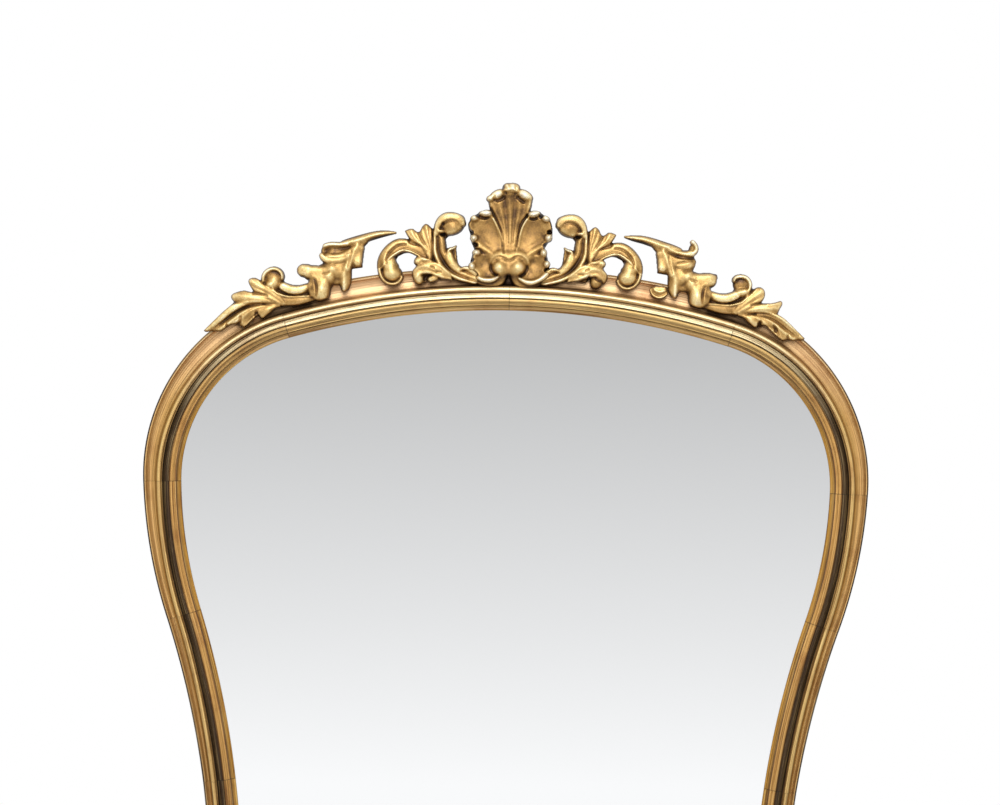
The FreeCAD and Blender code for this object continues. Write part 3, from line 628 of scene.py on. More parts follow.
@dataclass
class OuterMoulding:
    """The frame proper: astragal ridge, wide cove and outer bead, in lengths that meet at joints.

    Dirt lies across the lengths' ends. Beside the ridge, where the carvings stand on the
    crown, a painted shadow of the carvings lies: painted_shadow_spots are those stretches by middle and half
    width in metres, and deep_shadow_spots the ones where the painted shadow reaches further over the section,
    with that reach on the scale of bands.
    The shifts move the streaks, so that no two lengths show the same ones.
    """

    widths: dict[str, tuple[float, float]] = field(default_factory=lambda: {
        "crown": (75.0, 79.0), "shoulder": (79.0, 67.0), "flank": (67.0, 61.5),
        "waist": (61.5, 57.5), "foot": (57.5, 56.0)})
    limits: tuple[float, float] = (EDGE.base_width, 79.0)
    bead_mm: float = 6.0
    step_mm: float = 6.0
    base_step_mm: float = 24.0
    joint_gap_mm: float = 0.03
    joint_mark_mm: float = 0.9
    joint_dirt: float = 0.4
    # Gain of the painted flank shade with ageing, by the sight edge's sideways lean.
    shade_and_age_gain: float = 1.7
    side_shift_mm: float = 97.0
    length_shift_mm: float = 613.0
    seam_mm: float = 20.0
    sharp_degrees: float = 32.0
    # Painted shadow under the shell and the sprays.
    painted_shadow_spots: tuple[tuple[float, float], ...] = ((0.0, 0.170), (0.38, 0.055))
    deep_shadow_spots: tuple[tuple[float, float, float], ...] = ((0.0, 0.024, 0.4), (0.385, 0.04, 0.12))
    painted_shadow_fade: float = 0.02
    painted_shadow_band: float = 0.61
    painted_shadow_reach: float = 0.03
    prefix: str = ""
    slot: str = "gilt_moulding"

    def outline(self, width: float) -> list[tuple[float, float, Band]]:
        """Lay out the section for one width: groove, ridge, cove, bead and outer side.

        Args:
            width: the moulding's width in millimetres.

        Returns:
            w, d and band of each point.
        """
        bead = width - self.bead_mm
        rear = [(24.0, 0.2), (24.0, 12.0), (12.0, 12.0), (12.0, 34.0), (28.0, 34.0), (28.0, 44.6)]
        groove = [(28.1, 45.0), (29.4, 44.5), (30.5, 43.9), (31.2, 43.0)]
        fillet = [(31.9, 45.2), (32.5, 46.0), (33.6, 46.0), (34.0, 46.6)]
        ridge = [(34.0, 51.0), (34.2, 52.8), (34.6, 54.0), (35.2, 54.8), (36.0, 55.1), (37.0, 54.9),
                 (38.0, 54.6), (38.9, 54.1), (39.8, 53.4), (40.6, 52.4), (41.4, 50.9), (42.1, 48.4),
                 (42.5, 45.6), (42.6, 44.0)]
        cove = [(42.8, 40.6), (43.6, 39.4)] + bowed((43.6, 39.4), (bead - 0.3, 39.6), -5.2, 15, 0.62)
        end = [(bead - 0.3, 39.6)] + bowed((bead, 39.8), (width - 3.2, 40.2), 2.5, 9)
        end += [(width - 3.1, 39.6), (width - 1.7, 38.8), (width - 0.5, 37.2)]
        side = [(width - 0.05, 34.0), (width - 0.05, 1.0), (width - 0.8, 0.2)]
        return banded(rear, groove, fillet, ridge, cove, end, side)

    def section(self) -> Section:
        """Section at the base's width and at the shoulder's, with each point's band."""
        return section_between(self.outline(self.limits[0]), self.outline(self.limits[1]), self.limits)

    def stations(self, name: str) -> tuple[np.ndarray, np.ndarray, np.ndarray, np.ndarray]:
        """Stand stations along one run, a step apart, with one close to each joint.

        Args:
            name: the run's name.

        Returns:
            Shares, places, normals and widths.
        """
        run = RUNS[name]
        count = max(4, int(run.span / self.step_mm) + 1)
        gap, mark = self.joint_gap_mm / run.span, self.joint_mark_mm / run.span
        last_share = 1.0 - gap * (name != "foot")
        shares = np.concatenate([[gap], np.linspace(gap + mark, last_share - mark, count), [last_share]])
        first, last = self.widths[name]
        return shares, run.points(shares), run.normals(shares), first + (last - first) * shares

    def sweep(self, name: str) -> tuple[np.ndarray, np.ndarray, np.ndarray]:
        """Carry the section along a run: place = sight edge + w times the normal, at depth d.

        Args:
            name: the run's name, or "base".

        Returns:
            (N, M, 3) places in millimetres as x, d and z, (N,) distance along, (N,) painted flank shade with
            ageing from 0 to 1.
        """
        section = self.section()
        if name == "base":
            return self.sweep_base(section)
        shares, spots, normals, widths = self.stations(name)
        shapes = section.at_width(widths)
        xz = spots[:, None, :] + normals[:, None, :] * shapes[:, :, :1]
        grid = np.concatenate([xz[:, :, :1], shapes[:, :, 1:], xz[:, :, 1:]], axis=-1)
        along = shares * RUNS[name].span
        # Painted shade with ageing: none where the sight edge faces up to the light, full where it faces
        # sideways.
        age = np.clip(self.shade_and_age_gain - normals[:, 1] * self.shade_and_age_gain, 0.0, 1.0)
        if name == "foot":
            grid = np.concatenate([grid, self.mitred(section)[None]])
            along = np.append(along, along[-1] + EDGE.toe)
            age = np.append(age, age[-1])
        return grid, along, age

    def mitred(self, section: Section) -> np.ndarray:
        """Cut the section in the mitre's plane, where foot and base rail meet: place = corner + w
        times the sum of both normals over 1 plus their product.

        Args:
            section: the section.

        Returns:
            (M, 3) x, d and z.
        """
        toe = RUNS["toe"].normals(np.ones(1))[0]
        base = RUNS["base"].normals(np.zeros(1))[0]
        corner = RUNS["toe"].points(np.ones(1))[0]
        w = section.narrow[:, :1]
        xz = corner + (toe + base) * w / (1 + toe @ base)
        return np.concatenate([xz[:, :1], section.narrow[:, 1:], xz[:, 1:]], axis=-1)

    def sweep_base(self, section: Section) -> tuple[np.ndarray, np.ndarray, np.ndarray]:
        """Draw the base rail between its mitres: each point of the section runs straight across.

        Args:
            section: the section.

        Returns:
            Places, distance along and painted flank shade with ageing, here full, as sweep gives them.
        """
        shares = np.linspace(1.0, -1.0, int(RUNS["base"].span / self.base_step_mm))
        grid = np.repeat(self.mitred(section)[None], len(shares), axis=0)
        grid[:, :, 0] *= shares[:, None]
        along = (1 - shares) * RUNS["base"].span / 2
        return grid, along, np.ones(len(shares))

    def build(self, material: bpy.types.Material) -> list[bpy.types.Object]:
        """Make every length of the moulding on both sides.

        Args:
            material: its finish.

        Returns:
            The pieces.
        """
        pieces = []
        for name in (*self.widths, "base"):
            grid, along, age = self.sweep(name)
            sides = SIDES if name != "base" else {"rail": 1.0}
            for number, (side, sign) in enumerate(sides.items()):
                shifted = along + self.side_shift_mm * number + self.length_shift_mm * len(pieces)
                pieces.append(self.piece(self.prefix + name + "_" + side, grid, shifted, age, sign, material))
        return pieces

    def piece(self, node: str, grid: np.ndarray, along: np.ndarray, age: np.ndarray, sign: float,
              material: bpy.types.Material) -> bpy.types.Object:
        """Make one closed length, mirrored where the sign is negative.

        Args:
            node: the frame's node.
            grid: (N, M, 3) x, d and z in millimetres.
            along: (N,) distance along.
            age: (N,) painted flank shade with ageing.
            sign: side of the frame, -1 or 1.
            material: its finish.

        Returns:
            The piece.
        """
        rows, columns = grid.shape[:2]
        x, d, z = grid.reshape(-1, 3).T
        faces = tube_faces(rows, columns).tolist()
        faces += [list(range(columns)), list(range((rows - 1) * columns, rows * columns))]
        piece = mesh_object("gilt_" + node, place(x * sign, z, d), faces, node, material,
                            self.sharp_degrees)
        self.map_section(piece.data, along, columns)
        self.dress(piece.data, age, columns)
        return piece

    def map_section(self, mesh: bpy.types.Mesh, along: np.ndarray, columns: int) -> None:
        """Write the section map: distance along the length and distance round the section in
        metres. A face that closes the round takes a distance past the last point's instead of 0.

        Args:
            mesh: the mesh.
            along: (N,) distance along in millimetres.
            columns: points in the section.
        """
        girth = self.section().girth()
        vertex = np.empty(len(mesh.loops), dtype=np.int32)
        mesh.loops.foreach_get("vertex_index", vertex)
        row, column = vertex // columns, vertex % columns
        totals = np.empty(len(mesh.polygons), dtype=np.int32)
        starts = np.empty(len(mesh.polygons), dtype=np.int32)
        mesh.polygons.foreach_get("loop_total", totals)
        mesh.polygons.foreach_get("loop_start", starts)
        closing = (np.maximum.reduceat(column, starts) == columns - 1) & (totals == 4)
        closing &= np.minimum.reduceat(column, starts) == 0
        seam = np.repeat(closing, totals) & (column == 0)
        uv = np.stack([along[row], np.where(seam, girth[-1] + self.seam_mm, girth[column])], axis=-1) * MM
        mesh.uv_layers.new(name="section").data.foreach_set("uv", uv.astype(np.float32).reshape(-1))

    def dress(self, mesh: bpy.types.Mesh, age: np.ndarray, columns: int) -> None:
        """Write the flank shade with ageing, the band and the darkening of each point. The darkening is
        the joints' own grime, or under the carvings a painted shadow, a bell over the scale of bands,
        whichever is more.

        Args:
            mesh: the mesh.
            age: (N,) painted flank shade with ageing along the length.
            columns: points in the section.
        """
        row, column = np.divmod(np.arange(len(mesh.vertices)), columns)
        bands, point_shade_and_age = self.section().bands[column], age[row]
        spots = np.empty(len(mesh.vertices) * 3)
        mesh.vertices.foreach_get("co", spots)
        x = np.abs(spots[::3])
        # Painted shadow under the carvings, beside the ridge on the crown.
        near, reach = np.zeros(len(x)), np.full(len(x), self.painted_shadow_reach)
        for middle, half in self.painted_shadow_spots:
            near = np.maximum(near, np.clip((half - np.abs(x - middle)) / self.painted_shadow_fade, 0.0, 1.0))
        for middle, half, deep in self.deep_shadow_spots:
            reach[(np.abs(x - middle) < half) & (bands >= self.painted_shadow_band)] = deep
        under = near * (1 - point_shade_and_age) * np.exp(-((bands - self.painted_shadow_band) / reach) ** 2)
        # Grime at the joints, painted shadow under the carvings.
        dirt = np.maximum(self.joint_dirt * np.isin(row, (0, len(age) - 1)), under)
        for name, values in (("age", point_shade_and_age), ("band", bands), ("dirt", dirt)):
            attribute = mesh.attributes.new(name, "FLOAT", "POINT")
            attribute.data.foreach_set("value", values.astype(np.float32))


@dataclass
class SlipMoulding(OuterMoulding):
    """The inner gilt moulding that laps the glass: a sloped sight edge, a hollow and a bead."""

    prefix: str = "slip_"
    slot: str = "gilt_slip"
    joint_dirt: float = 0.95
    painted_shadow_spots: tuple[tuple[float, float], ...] = ()

    def outline(self, width: float) -> list[tuple[float, float, Band]]:
        """Lay out the section, the same for every width: slope, raised lip, bead, rounded edge.

        Args:
            width: the outer moulding's width, without effect here.

        Returns:
            w, d and band of each point.
        """
        rear = [(27.7, 34.0), (0.0, 34.0)]
        slope = [(0.0, 36.0), (0.6, 37.0)] + bowed((0.6, 37.0), (7.6, 41.4), -0.5, 5, 1.0)
        quirk = [(7.6, 41.4), (8.2, 41.6)]
        lip = [(8.7, 43.6), (9.2, 44.3), (10.0, 44.3)] + bowed((10.0, 44.3), (13.0, 46.0), -0.4, 3, 1.0)
        bead = [(13.0, 46.0)] + bowed((13.0, 46.0), (20.2, 46.2), 2.6, 10)
        chamfer = [(20.2, 46.2), (20.7, 45.5), (21.4, 45.6), (21.9, 46.8), (22.6, 47.1), (24.4, 46.6),
                   (26.2, 46.0), (27.6, 45.4)]
        side = [(27.7, 45.1), (27.7, 40.0)]
        return banded(rear, slope, quirk, lip, bead, chamfer, side)


def dome(across: np.ndarray, power: int = 2, middle: float = 0.0, half: float = 1.0) -> np.ndarray:
    """Root of 1 less a power of the distance from the middle over the half width, zero outside."""
    return np.sqrt(np.clip(1 - np.abs((across - middle) / half) ** power, 0, 1))


class Cut(Enum):
    """The shape of a carved member across its width."""

    ROUND = "round"
    SOFT = "soft"
    CUPPED = "cupped"
    KEELED = "keeled"
    TWIN = "twin"
    RIMMED = "rimmed"

    def height(self, across: np.ndarray) -> np.ndarray:
        """Height of the front, as a share of the member's height.

        A cup is a dome less a hollow, a keel one that falls straight from its middle, a twin a
        low body with a wide and a narrow dome, and a rimmed one a body with a dome at one side.

        Args:
            across: place across from -1 to 1, positive to the left of the way along.

        Returns:
            Heights.
        """
        x = np.abs(across)
        if self is Cut.ROUND:
            return dome(x)
        if self is Cut.SOFT:
            return dome(x, 4)
        if self is Cut.CUPPED:
            return dome(x, 8) * (0.55 + 0.45 * np.clip(x / 0.8, 0, 1) ** 2)
        if self is Cut.KEELED:
            return dome(x, 3) * (1 - 0.38 * x)
        if self is Cut.TWIN:
            ridges = np.maximum(0.80 * dome(across, middle=-0.36, half=0.64),
                                dome(across, middle=0.62, half=0.40))
            return np.maximum(ridges, 0.64 * dome(x, 4))
        body = 0.74 * dome(x, 6) * (0.9 + 0.1 * np.cos(2 * across))
        return np.maximum(body, dome(across, middle=0.76, half=0.26))


@dataclass(frozen=True)
class Member:
    """One carved member: its cut, and for each point along it the mark, half width and height
    in millimetres. A member of the cuts is taken away instead."""

    cut: Cut
    stations: tuple[tuple[float, float, float, float], ...]


@dataclass(frozen=True)
class Petal:
    """One broad leaf or petal: two sides that rise from its root and the rim that joins them, as
    marks; its height at four places from root to rim; its dish and ribs across."""

    near: tuple[tuple[float, float], ...]
    rim: tuple[tuple[float, float], ...]
    far: tuple[tuple[float, float], ...]
    rise: tuple[float, float, float, float]
    dish: float = 0.0
    ribs: float = 0.0
    rib_height: float = 0.0
    phase: float = 0.0


@dataclass(frozen=True)
class Boss:
    """A round swelling: its mark, two half sizes and a height in millimetres, and its lean in
    degrees."""

    across: float
    up: float
    long: float
    short: float
    height: float
    lean: float = 0.0


@dataclass(frozen=True)
class Pattern:
    """What is carved on one piece: its outline as marks, what stands on it, what is cut in, and
    painted shade, as swellings whose height is the share of brightness taken (below zero a
    painted highlight, brightness given); tone is the share taken everywhere. The ground's height
    and the width of its rounded shoulder are in millimetres."""

    outline: tuple[tuple[float, float], ...]
    members: tuple[Member, ...]
    petals: tuple[Petal, ...] = ()
    bosses: tuple[Boss, ...] = ()
    cuts: tuple[Member, ...] = ()
    painted_shades: tuple[Boss, ...] = ()
    ground: float = 8.0
    shoulder: float = 7.0
    tone: float = 0.0


def smooth_line(knots: np.ndarray, count: int) -> np.ndarray:
    """Natural cubic spline through knots, even in distance between them.

    Args:
        knots: (K, D) values, the first two of which are the place.
        count: points wanted.

    Returns:
        (count, D) values.
    """
    reach = np.concatenate([[0.0], np.cumsum(np.linalg.norm(np.diff(knots[:, :2], axis=0), axis=1) + 1e-6)])
    gap = np.diff(reach)
    size = len(knots)
    matrix = np.eye(size)
    side = np.zeros_like(knots)
    inner = np.arange(1, size - 1)
    matrix[inner, inner - 1] = gap[:-1]
    matrix[inner, inner] = 2 * (gap[:-1] + gap[1:])
    matrix[inner, inner + 1] = gap[1:]
    slope = np.diff(knots, axis=0) / gap[:, None]
    side[inner] = 6 * (slope[1:] - slope[:-1])
    bend = np.linalg.solve(matrix, side)
    t = np.linspace(0.0, reach[-1], count)
    k = np.clip(np.searchsorted(reach, t, side="right") - 1, 0, size - 2)
    h, a = gap[k][:, None], (t - reach[k])[:, None]
    b = h - a
    return (bend[k] * b ** 3 / (6 * h) + bend[k + 1] * a ** 3 / (6 * h)
            + (knots[k] / h - bend[k] * h / 6) * b + (knots[k + 1] / h - bend[k + 1] * h / 6) * a)


def blurred(heights: np.ndarray, sigma: float) -> np.ndarray:
    """Blur a grid: its transform times a bell, transformed back.

    Args:
        heights: the grid.
        sigma: width of the bell in cells.

    Returns:
        The blurred grid.
    """
    rows, columns = heights.shape
    bell = np.exp(-2 * (math.pi * sigma) ** 2 * (np.fft.fftfreq(rows)[:, None] ** 2
                                                 + np.fft.rfftfreq(columns)[None, :] ** 2))
    return np.fft.irfft2(np.fft.rfft2(heights) * bell, s=heights.shape)


@dataclass
class Carving:
    """One carved piece of the crest, worked as heights over its box.

    The ground fills the outline and falls away at its edge. Petals, members and bosses stand
    on it, each running softly into what it meets, and the cuts are taken out of them.

    Sizes are in millimetres: blend is how softly two forms meet, least the thinnest place,
    sample the spacing of the samples drawn over a member. Sanding and shade_blur are blurs in
    cells. Each entry of reliefs is a blur in cells, a gain and a share of the brightness, which
    paints light and shade on the carving.
    """

    node: str
    sign: float
    start: float
    foot: float
    width: float
    height: float
    pattern: Pattern
    floor: float = 42.9
    cell: float = 0.9
    pad: float = 4.0
    blend: float = 4.0
    least: float = 2.5
    sample: float = 0.3
    petal_samples: int = 420
    least_weight: float = 0.05
    sanding: float = 1.1
    solid_cover: float = 0.4
    edge_cover: float = 0.72
    edge_pull: float = 1.2
    reliefs: tuple[tuple[float, float, float], ...] = ((2.4, 0.50, 0.20), (9.0, 0.16, 0.30))
    hollow_gain: float = 0.8
    shade_blur: float = 3.0
    sharp_degrees: float = 70.0

    def __post_init__(self) -> None:
        """Lay out the grid and start with bare heights."""
        self.columns = int((self.width + 2 * self.pad) / self.cell) + 1
        self.rows = int((self.height + 2 * self.pad) / self.cell) + 1
        self.x = np.arange(self.columns) * self.cell - self.pad
        self.z = np.arange(self.rows) * self.cell - self.pad
        self.rise = np.zeros((self.rows, self.columns))
        self.cover = np.zeros((self.rows, self.columns))

    def spots(self, marks: tuple[tuple[float, ...], ...]) -> np.ndarray:
        """Turn marks, in the first two columns, into millimetres from the box's corner.

        Args:
            marks: the rows.

        Returns:
            The rows with their first two columns turned.
        """
        rows = np.array(marks, dtype=float)
        rows[:, :2] = rows[:, :2] / 1000 * (self.width, self.height)
        return rows

    def splat(self, x: np.ndarray, z: np.ndarray, high: np.ndarray) -> tuple[np.ndarray, np.ndarray]:
        """Spread samples of a surface on the grid: each gives its height to the four points
        round it by nearness, and a point takes the weighted mean.

        Args:
            x: places across in millimetres.
            z: places up.
            high: heights there.

        Returns:
            Height and weight at each grid point.
        """
        column, row = (x.ravel() + self.pad) / self.cell, (z.ravel() + self.pad) / self.cell
        column, row = np.clip(column, 0, self.columns - 2), np.clip(row, 0, self.rows - 2)
        j, i = column.astype(int), row.astype(int)
        a, b = column - j, row - i
        weight, total = np.zeros(self.rise.size), np.zeros(self.rise.size)
        for di, dj in ((0, 0), (0, 1), (1, 0), (1, 1)):
            share = (a if dj else 1 - a) * (b if di else 1 - b)
            number = (i + di) * self.columns + j + dj
            weight += np.bincount(number, share, self.rise.size)
            total += np.bincount(number, share * high.ravel(), self.rise.size)
        found = np.divide(total, weight, out=np.zeros_like(total), where=weight > 1e-6)
        return found.reshape(self.rise.shape), weight.reshape(self.rise.shape)

    def member(self, member: Member) -> tuple[np.ndarray, np.ndarray]:
        """Work one member: its height times its cut across, closing in a half circle as wide as
        the member at both ends. No member gets narrower or lower than about half a millimetre.

        Args:
            member: the member.

        Returns:
            Height and weight at each grid point.
        """
        knots = self.spots(member.stations)
        reach = np.linalg.norm(np.diff(knots[:, :2], axis=0), axis=1).sum()
        line = smooth_line(knots, int(reach / self.sample) + 12)
        spot, half, high = line[:, :2], np.maximum(line[:, 2], 0.6), np.maximum(line[:, 3], 0.5)
        heading = np.gradient(spot, axis=0)
        heading /= np.linalg.norm(heading, axis=1)[:, None]
        sideways = np.stack([-heading[:, 1], heading[:, 0]], axis=-1)
        travel = np.concatenate([[0.0], np.cumsum(np.linalg.norm(np.diff(spot, axis=0), axis=1))])
        close = self.closing(travel, half[0]) * self.closing(travel[-1] - travel, half[-1])
        across = np.linspace(-1.0, 1.0, int(half.max() * 2 / self.sample) + 8)
        width = (half * close)[:, None] * across[None]
        x = spot[:, :1] + sideways[:, :1] * width
        z = spot[:, 1:] + sideways[:, 1:] * width
        return self.splat(x, z, (high * np.sqrt(close))[:, None] * member.cut.height(across)[None])

    @staticmethod
    def closing(distance: np.ndarray, radius: float) -> np.ndarray:
        """Half circle's height at a distance from its end, from 0.02 up to 1."""
        left = 1 - np.clip(distance / max(radius, 0.8), 0.0, 1.0)
        return dome(left) * 0.98 + 0.02

    def petal(self, petal: Petal) -> tuple[np.ndarray, np.ndarray]:
        """Work one petal.

        Place at (r, t) = the mix of the two sides at r by t, plus r times what the rim differs
        from the mix of the sides' ends. Height = a cubic in r through the four heights, less
        the dish times a half wave across, plus ribs as a cosine across that grows with r. The
        last 6 per cent at its sides and 4 at its rim round off.

        Args:
            petal: the petal.

        Returns:
            Height and weight at each grid point.
        """
        near, rim, far = (smooth_line(self.spots(line), self.petal_samples) for line in
                          (petal.near, petal.rim, petal.far))
        share = np.linspace(0.0, 1.0, self.petal_samples)
        r, t = share[:, None], share[None, :]
        ends = near[-1] * (1 - t)[..., None] + far[-1] * t[..., None]
        spot = near[:, None] * (1 - t)[..., None] + far[:, None] * t[..., None]
        spot = spot + r[..., None] * (rim[None] - ends)
        high = np.polyval(np.polyfit(np.linspace(0.0, 1.0, 4), petal.rise, 3), r)
        high = high - petal.dish * np.sin(math.pi * t) * np.sin(math.pi * np.clip(r, 0, 0.85) / 1.7)
        high = high + petal.rib_height * np.sqrt(r) * np.cos(2 * math.pi * (petal.ribs * t - petal.phase))
        edge = np.clip(np.minimum(np.minimum(t, 1 - t) / 0.06, (1 - r) / 0.04), 0.0, 1.0)
        return self.splat(spot[..., 0], spot[..., 1], high * np.sqrt(1 - (1 - edge) ** 2 * 0.9))

    def boss(self, boss: Boss) -> tuple[np.ndarray, np.ndarray]:
        """Work a half egg: its height times the root of 1 less the squared distance from its
        middle over its half sizes. Its weight falls to nothing just outside it.

        Args:
            boss: the boss.

        Returns:
            Height and weight at each grid point.
        """
        ((across, up),) = self.spots(((boss.across, boss.up),))
        x, z = self.x[None, :] - across, self.z[:, None] - up
        c, s = math.cos(math.radians(boss.lean)), math.sin(math.radians(boss.lean))
        square = ((x * c + z * s) / boss.long) ** 2 + ((z * c - x * s) / boss.short) ** 2
        return boss.height * np.sqrt(np.clip(1 - square, 0.0, 1.0)), np.clip((1.06 - square) * 6, 0.0, 1.0)

    def lay_ground(self) -> None:
        """Fill the outline: height by the distance in from its edge, as a quarter round.

        A point is inside where a line from it crosses the outline an odd number of times.
        """
        corners = self.spots(self.pattern.outline)
        after = np.roll(corners, -1, axis=0)
        gx, gz = np.meshgrid(self.x, self.z)
        inside = np.zeros(self.rise.shape, dtype=bool)
        distance = np.full(self.rise.shape, np.inf)
        for (x0, z0), (x1, z1) in zip(corners, after):
            wide, high, dx, dz = x1 - x0, z1 - z0, gx - x0, gz - z0
            inside ^= ((z0 > gz) != (z1 > gz)) & (gx < wide * dz / (high + 1e-12) + x0)
            share = np.clip((dx * wide + dz * high) / (wide ** 2 + high ** 2), 0, 1)
            distance = np.minimum(distance, np.hypot(dx - share * wide, dz - share * high))
        depth = np.clip(np.where(inside, distance, 0.0) / self.pattern.shoulder, 0.0, 1.0)
        self.rise = self.pattern.ground * np.sqrt(1 - (1 - depth) ** 2)
        self.cover = np.clip(np.where(inside, distance, -distance) / self.cell + 0.5, 0.0, 1.0)

    def work(self) -> None:
        """Carve: ground, then what stands on it, then the cuts, then a light sanding.

        Two forms meet as half of their sum and the root of their squared difference plus blend
        squared, which is the higher one with a soft join.
        """
        self.lay_ground()
        standing = [self.petal(petal) for petal in self.pattern.petals]
        standing += [self.member(member) for member in self.pattern.members]
        standing += [self.boss(boss) for boss in self.pattern.bosses]
        for high, weight in standing:
            merged = 0.5 * (self.rise + high + np.sqrt((self.rise - high) ** 2 + self.blend ** 2))
            self.rise = np.where(weight > self.least_weight, merged, self.rise)
            self.cover = np.maximum(self.cover, np.clip(weight * 2, 0.0, 1.0))
        for high, weight in map(self.member, self.pattern.cuts):
            self.rise = np.where(weight > self.least_weight, self.rise - high, self.rise)
        self.rise = blurred(np.clip(self.rise, self.least, None), self.sanding)

    def relief(self) -> np.ndarray:
        """Tell how far each point stands out of its surroundings at two sizes, less the painted shade: the
        level paints the carving's highlights, and its shade with grime.

        Returns:
            0 for a deep cut, 0.5 for a flat, 1 for a sharp swelling.
        """
        solid = (self.cover > self.solid_cover).astype(float)
        found = np.full(self.rise.shape, 0.5 - self.pattern.tone)
        # Swellings lighter and hollows darker: painted highlights, and painted shade with grime.
        for sigma, gain, share in self.reliefs:
            above = self.rise - blurred(self.rise * solid, sigma) / (blurred(solid, sigma) + 1e-3)
            found += np.tanh(above * gain * np.where(above > 0, 1.0, self.hollow_gain)) * share
        # Painted shade taken off; where its height is below zero it adds a painted highlight.
        for shade in self.pattern.painted_shades:
            found -= blurred(self.boss(shade)[0], self.shade_blur)
        return np.clip(found, 0.0, 1.0)

    def mesh(self) -> tuple[np.ndarray, np.ndarray, np.ndarray]:
        """Lay front and rear sheets over the covered cells, joined by a wall.

        A point outside the cover's edge moves to it down the slope of the blurred cover.

        Returns:
            Places in metres, faces, and relief of each point, which paints light and shade.
        """
        cover = blurred(self.cover, 1.0)
        inside = cover > self.edge_cover
        cells = (inside[:-1, :-1].astype(int) + inside[:-1, 1:] + inside[1:, :-1] + inside[1:, 1:]) >= 2
        slope_z, slope_x = np.gradient(cover)
        steep = np.maximum(slope_x ** 2 + slope_z ** 2, 0.01)
        step = np.where(inside, 0.0, self.edge_cover - cover) / steep
        gx, gz = np.meshgrid(self.x, self.z)
        gx = gx + np.clip(step * slope_x, -self.edge_pull, self.edge_pull) * self.cell
        gz = gz + np.clip(step * slope_z, -self.edge_pull, self.edge_pull) * self.cell
        size = gx.size
        number = np.arange(size).reshape(gx.shape)
        quads = np.stack([number[:-1, :-1], number[:-1, 1:], number[1:, 1:], number[1:, :-1]], axis=-1)[cells]
        sides = np.concatenate([quads[:, [k, (k + 1) % 4]] for k in range(4)])
        key = np.sort(sides, axis=1)
        _, first, counts = np.unique(key[:, 0] * size + key[:, 1], return_index=True, return_counts=True)
        rim = sides[first[counts == 1]]
        wall = np.stack([rim[:, 1], rim[:, 0], rim[:, 0] + size, rim[:, 1] + size], axis=-1)
        faces = np.concatenate([quads, quads[:, ::-1] + size, wall])
        front, rear = self.floor + self.rise, np.full(gx.shape, self.floor - 0.1)
        x = self.sign * (self.start + np.concatenate([gx.ravel(), gx.ravel()]))
        z = SIGHT_TOP + self.foot + np.concatenate([gz.ravel(), gz.ravel()])
        points = place(x, z, np.concatenate([front.ravel(), rear.ravel()]))
        used, faces = np.unique(faces, return_inverse=True)
        relief = np.concatenate([self.relief().ravel()] * 2)
        return points[used], faces.reshape(-1, 4), relief[used]

    def build(self, material: bpy.types.Material) -> bpy.types.Object:
        """Carve the piece, give it its material and its relief, which paints its light and shade.

        Args:
            material: the finish.

        Returns:
            The piece.
        """
        self.work()
        points, faces, relief = self.mesh()
        piece = mesh_object("carved_" + self.node, points, faces.tolist(), self.node, material,
                            self.sharp_degrees)
        attribute = piece.data.attributes.new("relief", "FLOAT", "POINT")
        attribute.data.foreach_set("value", relief.astype(np.float32))
        return piece


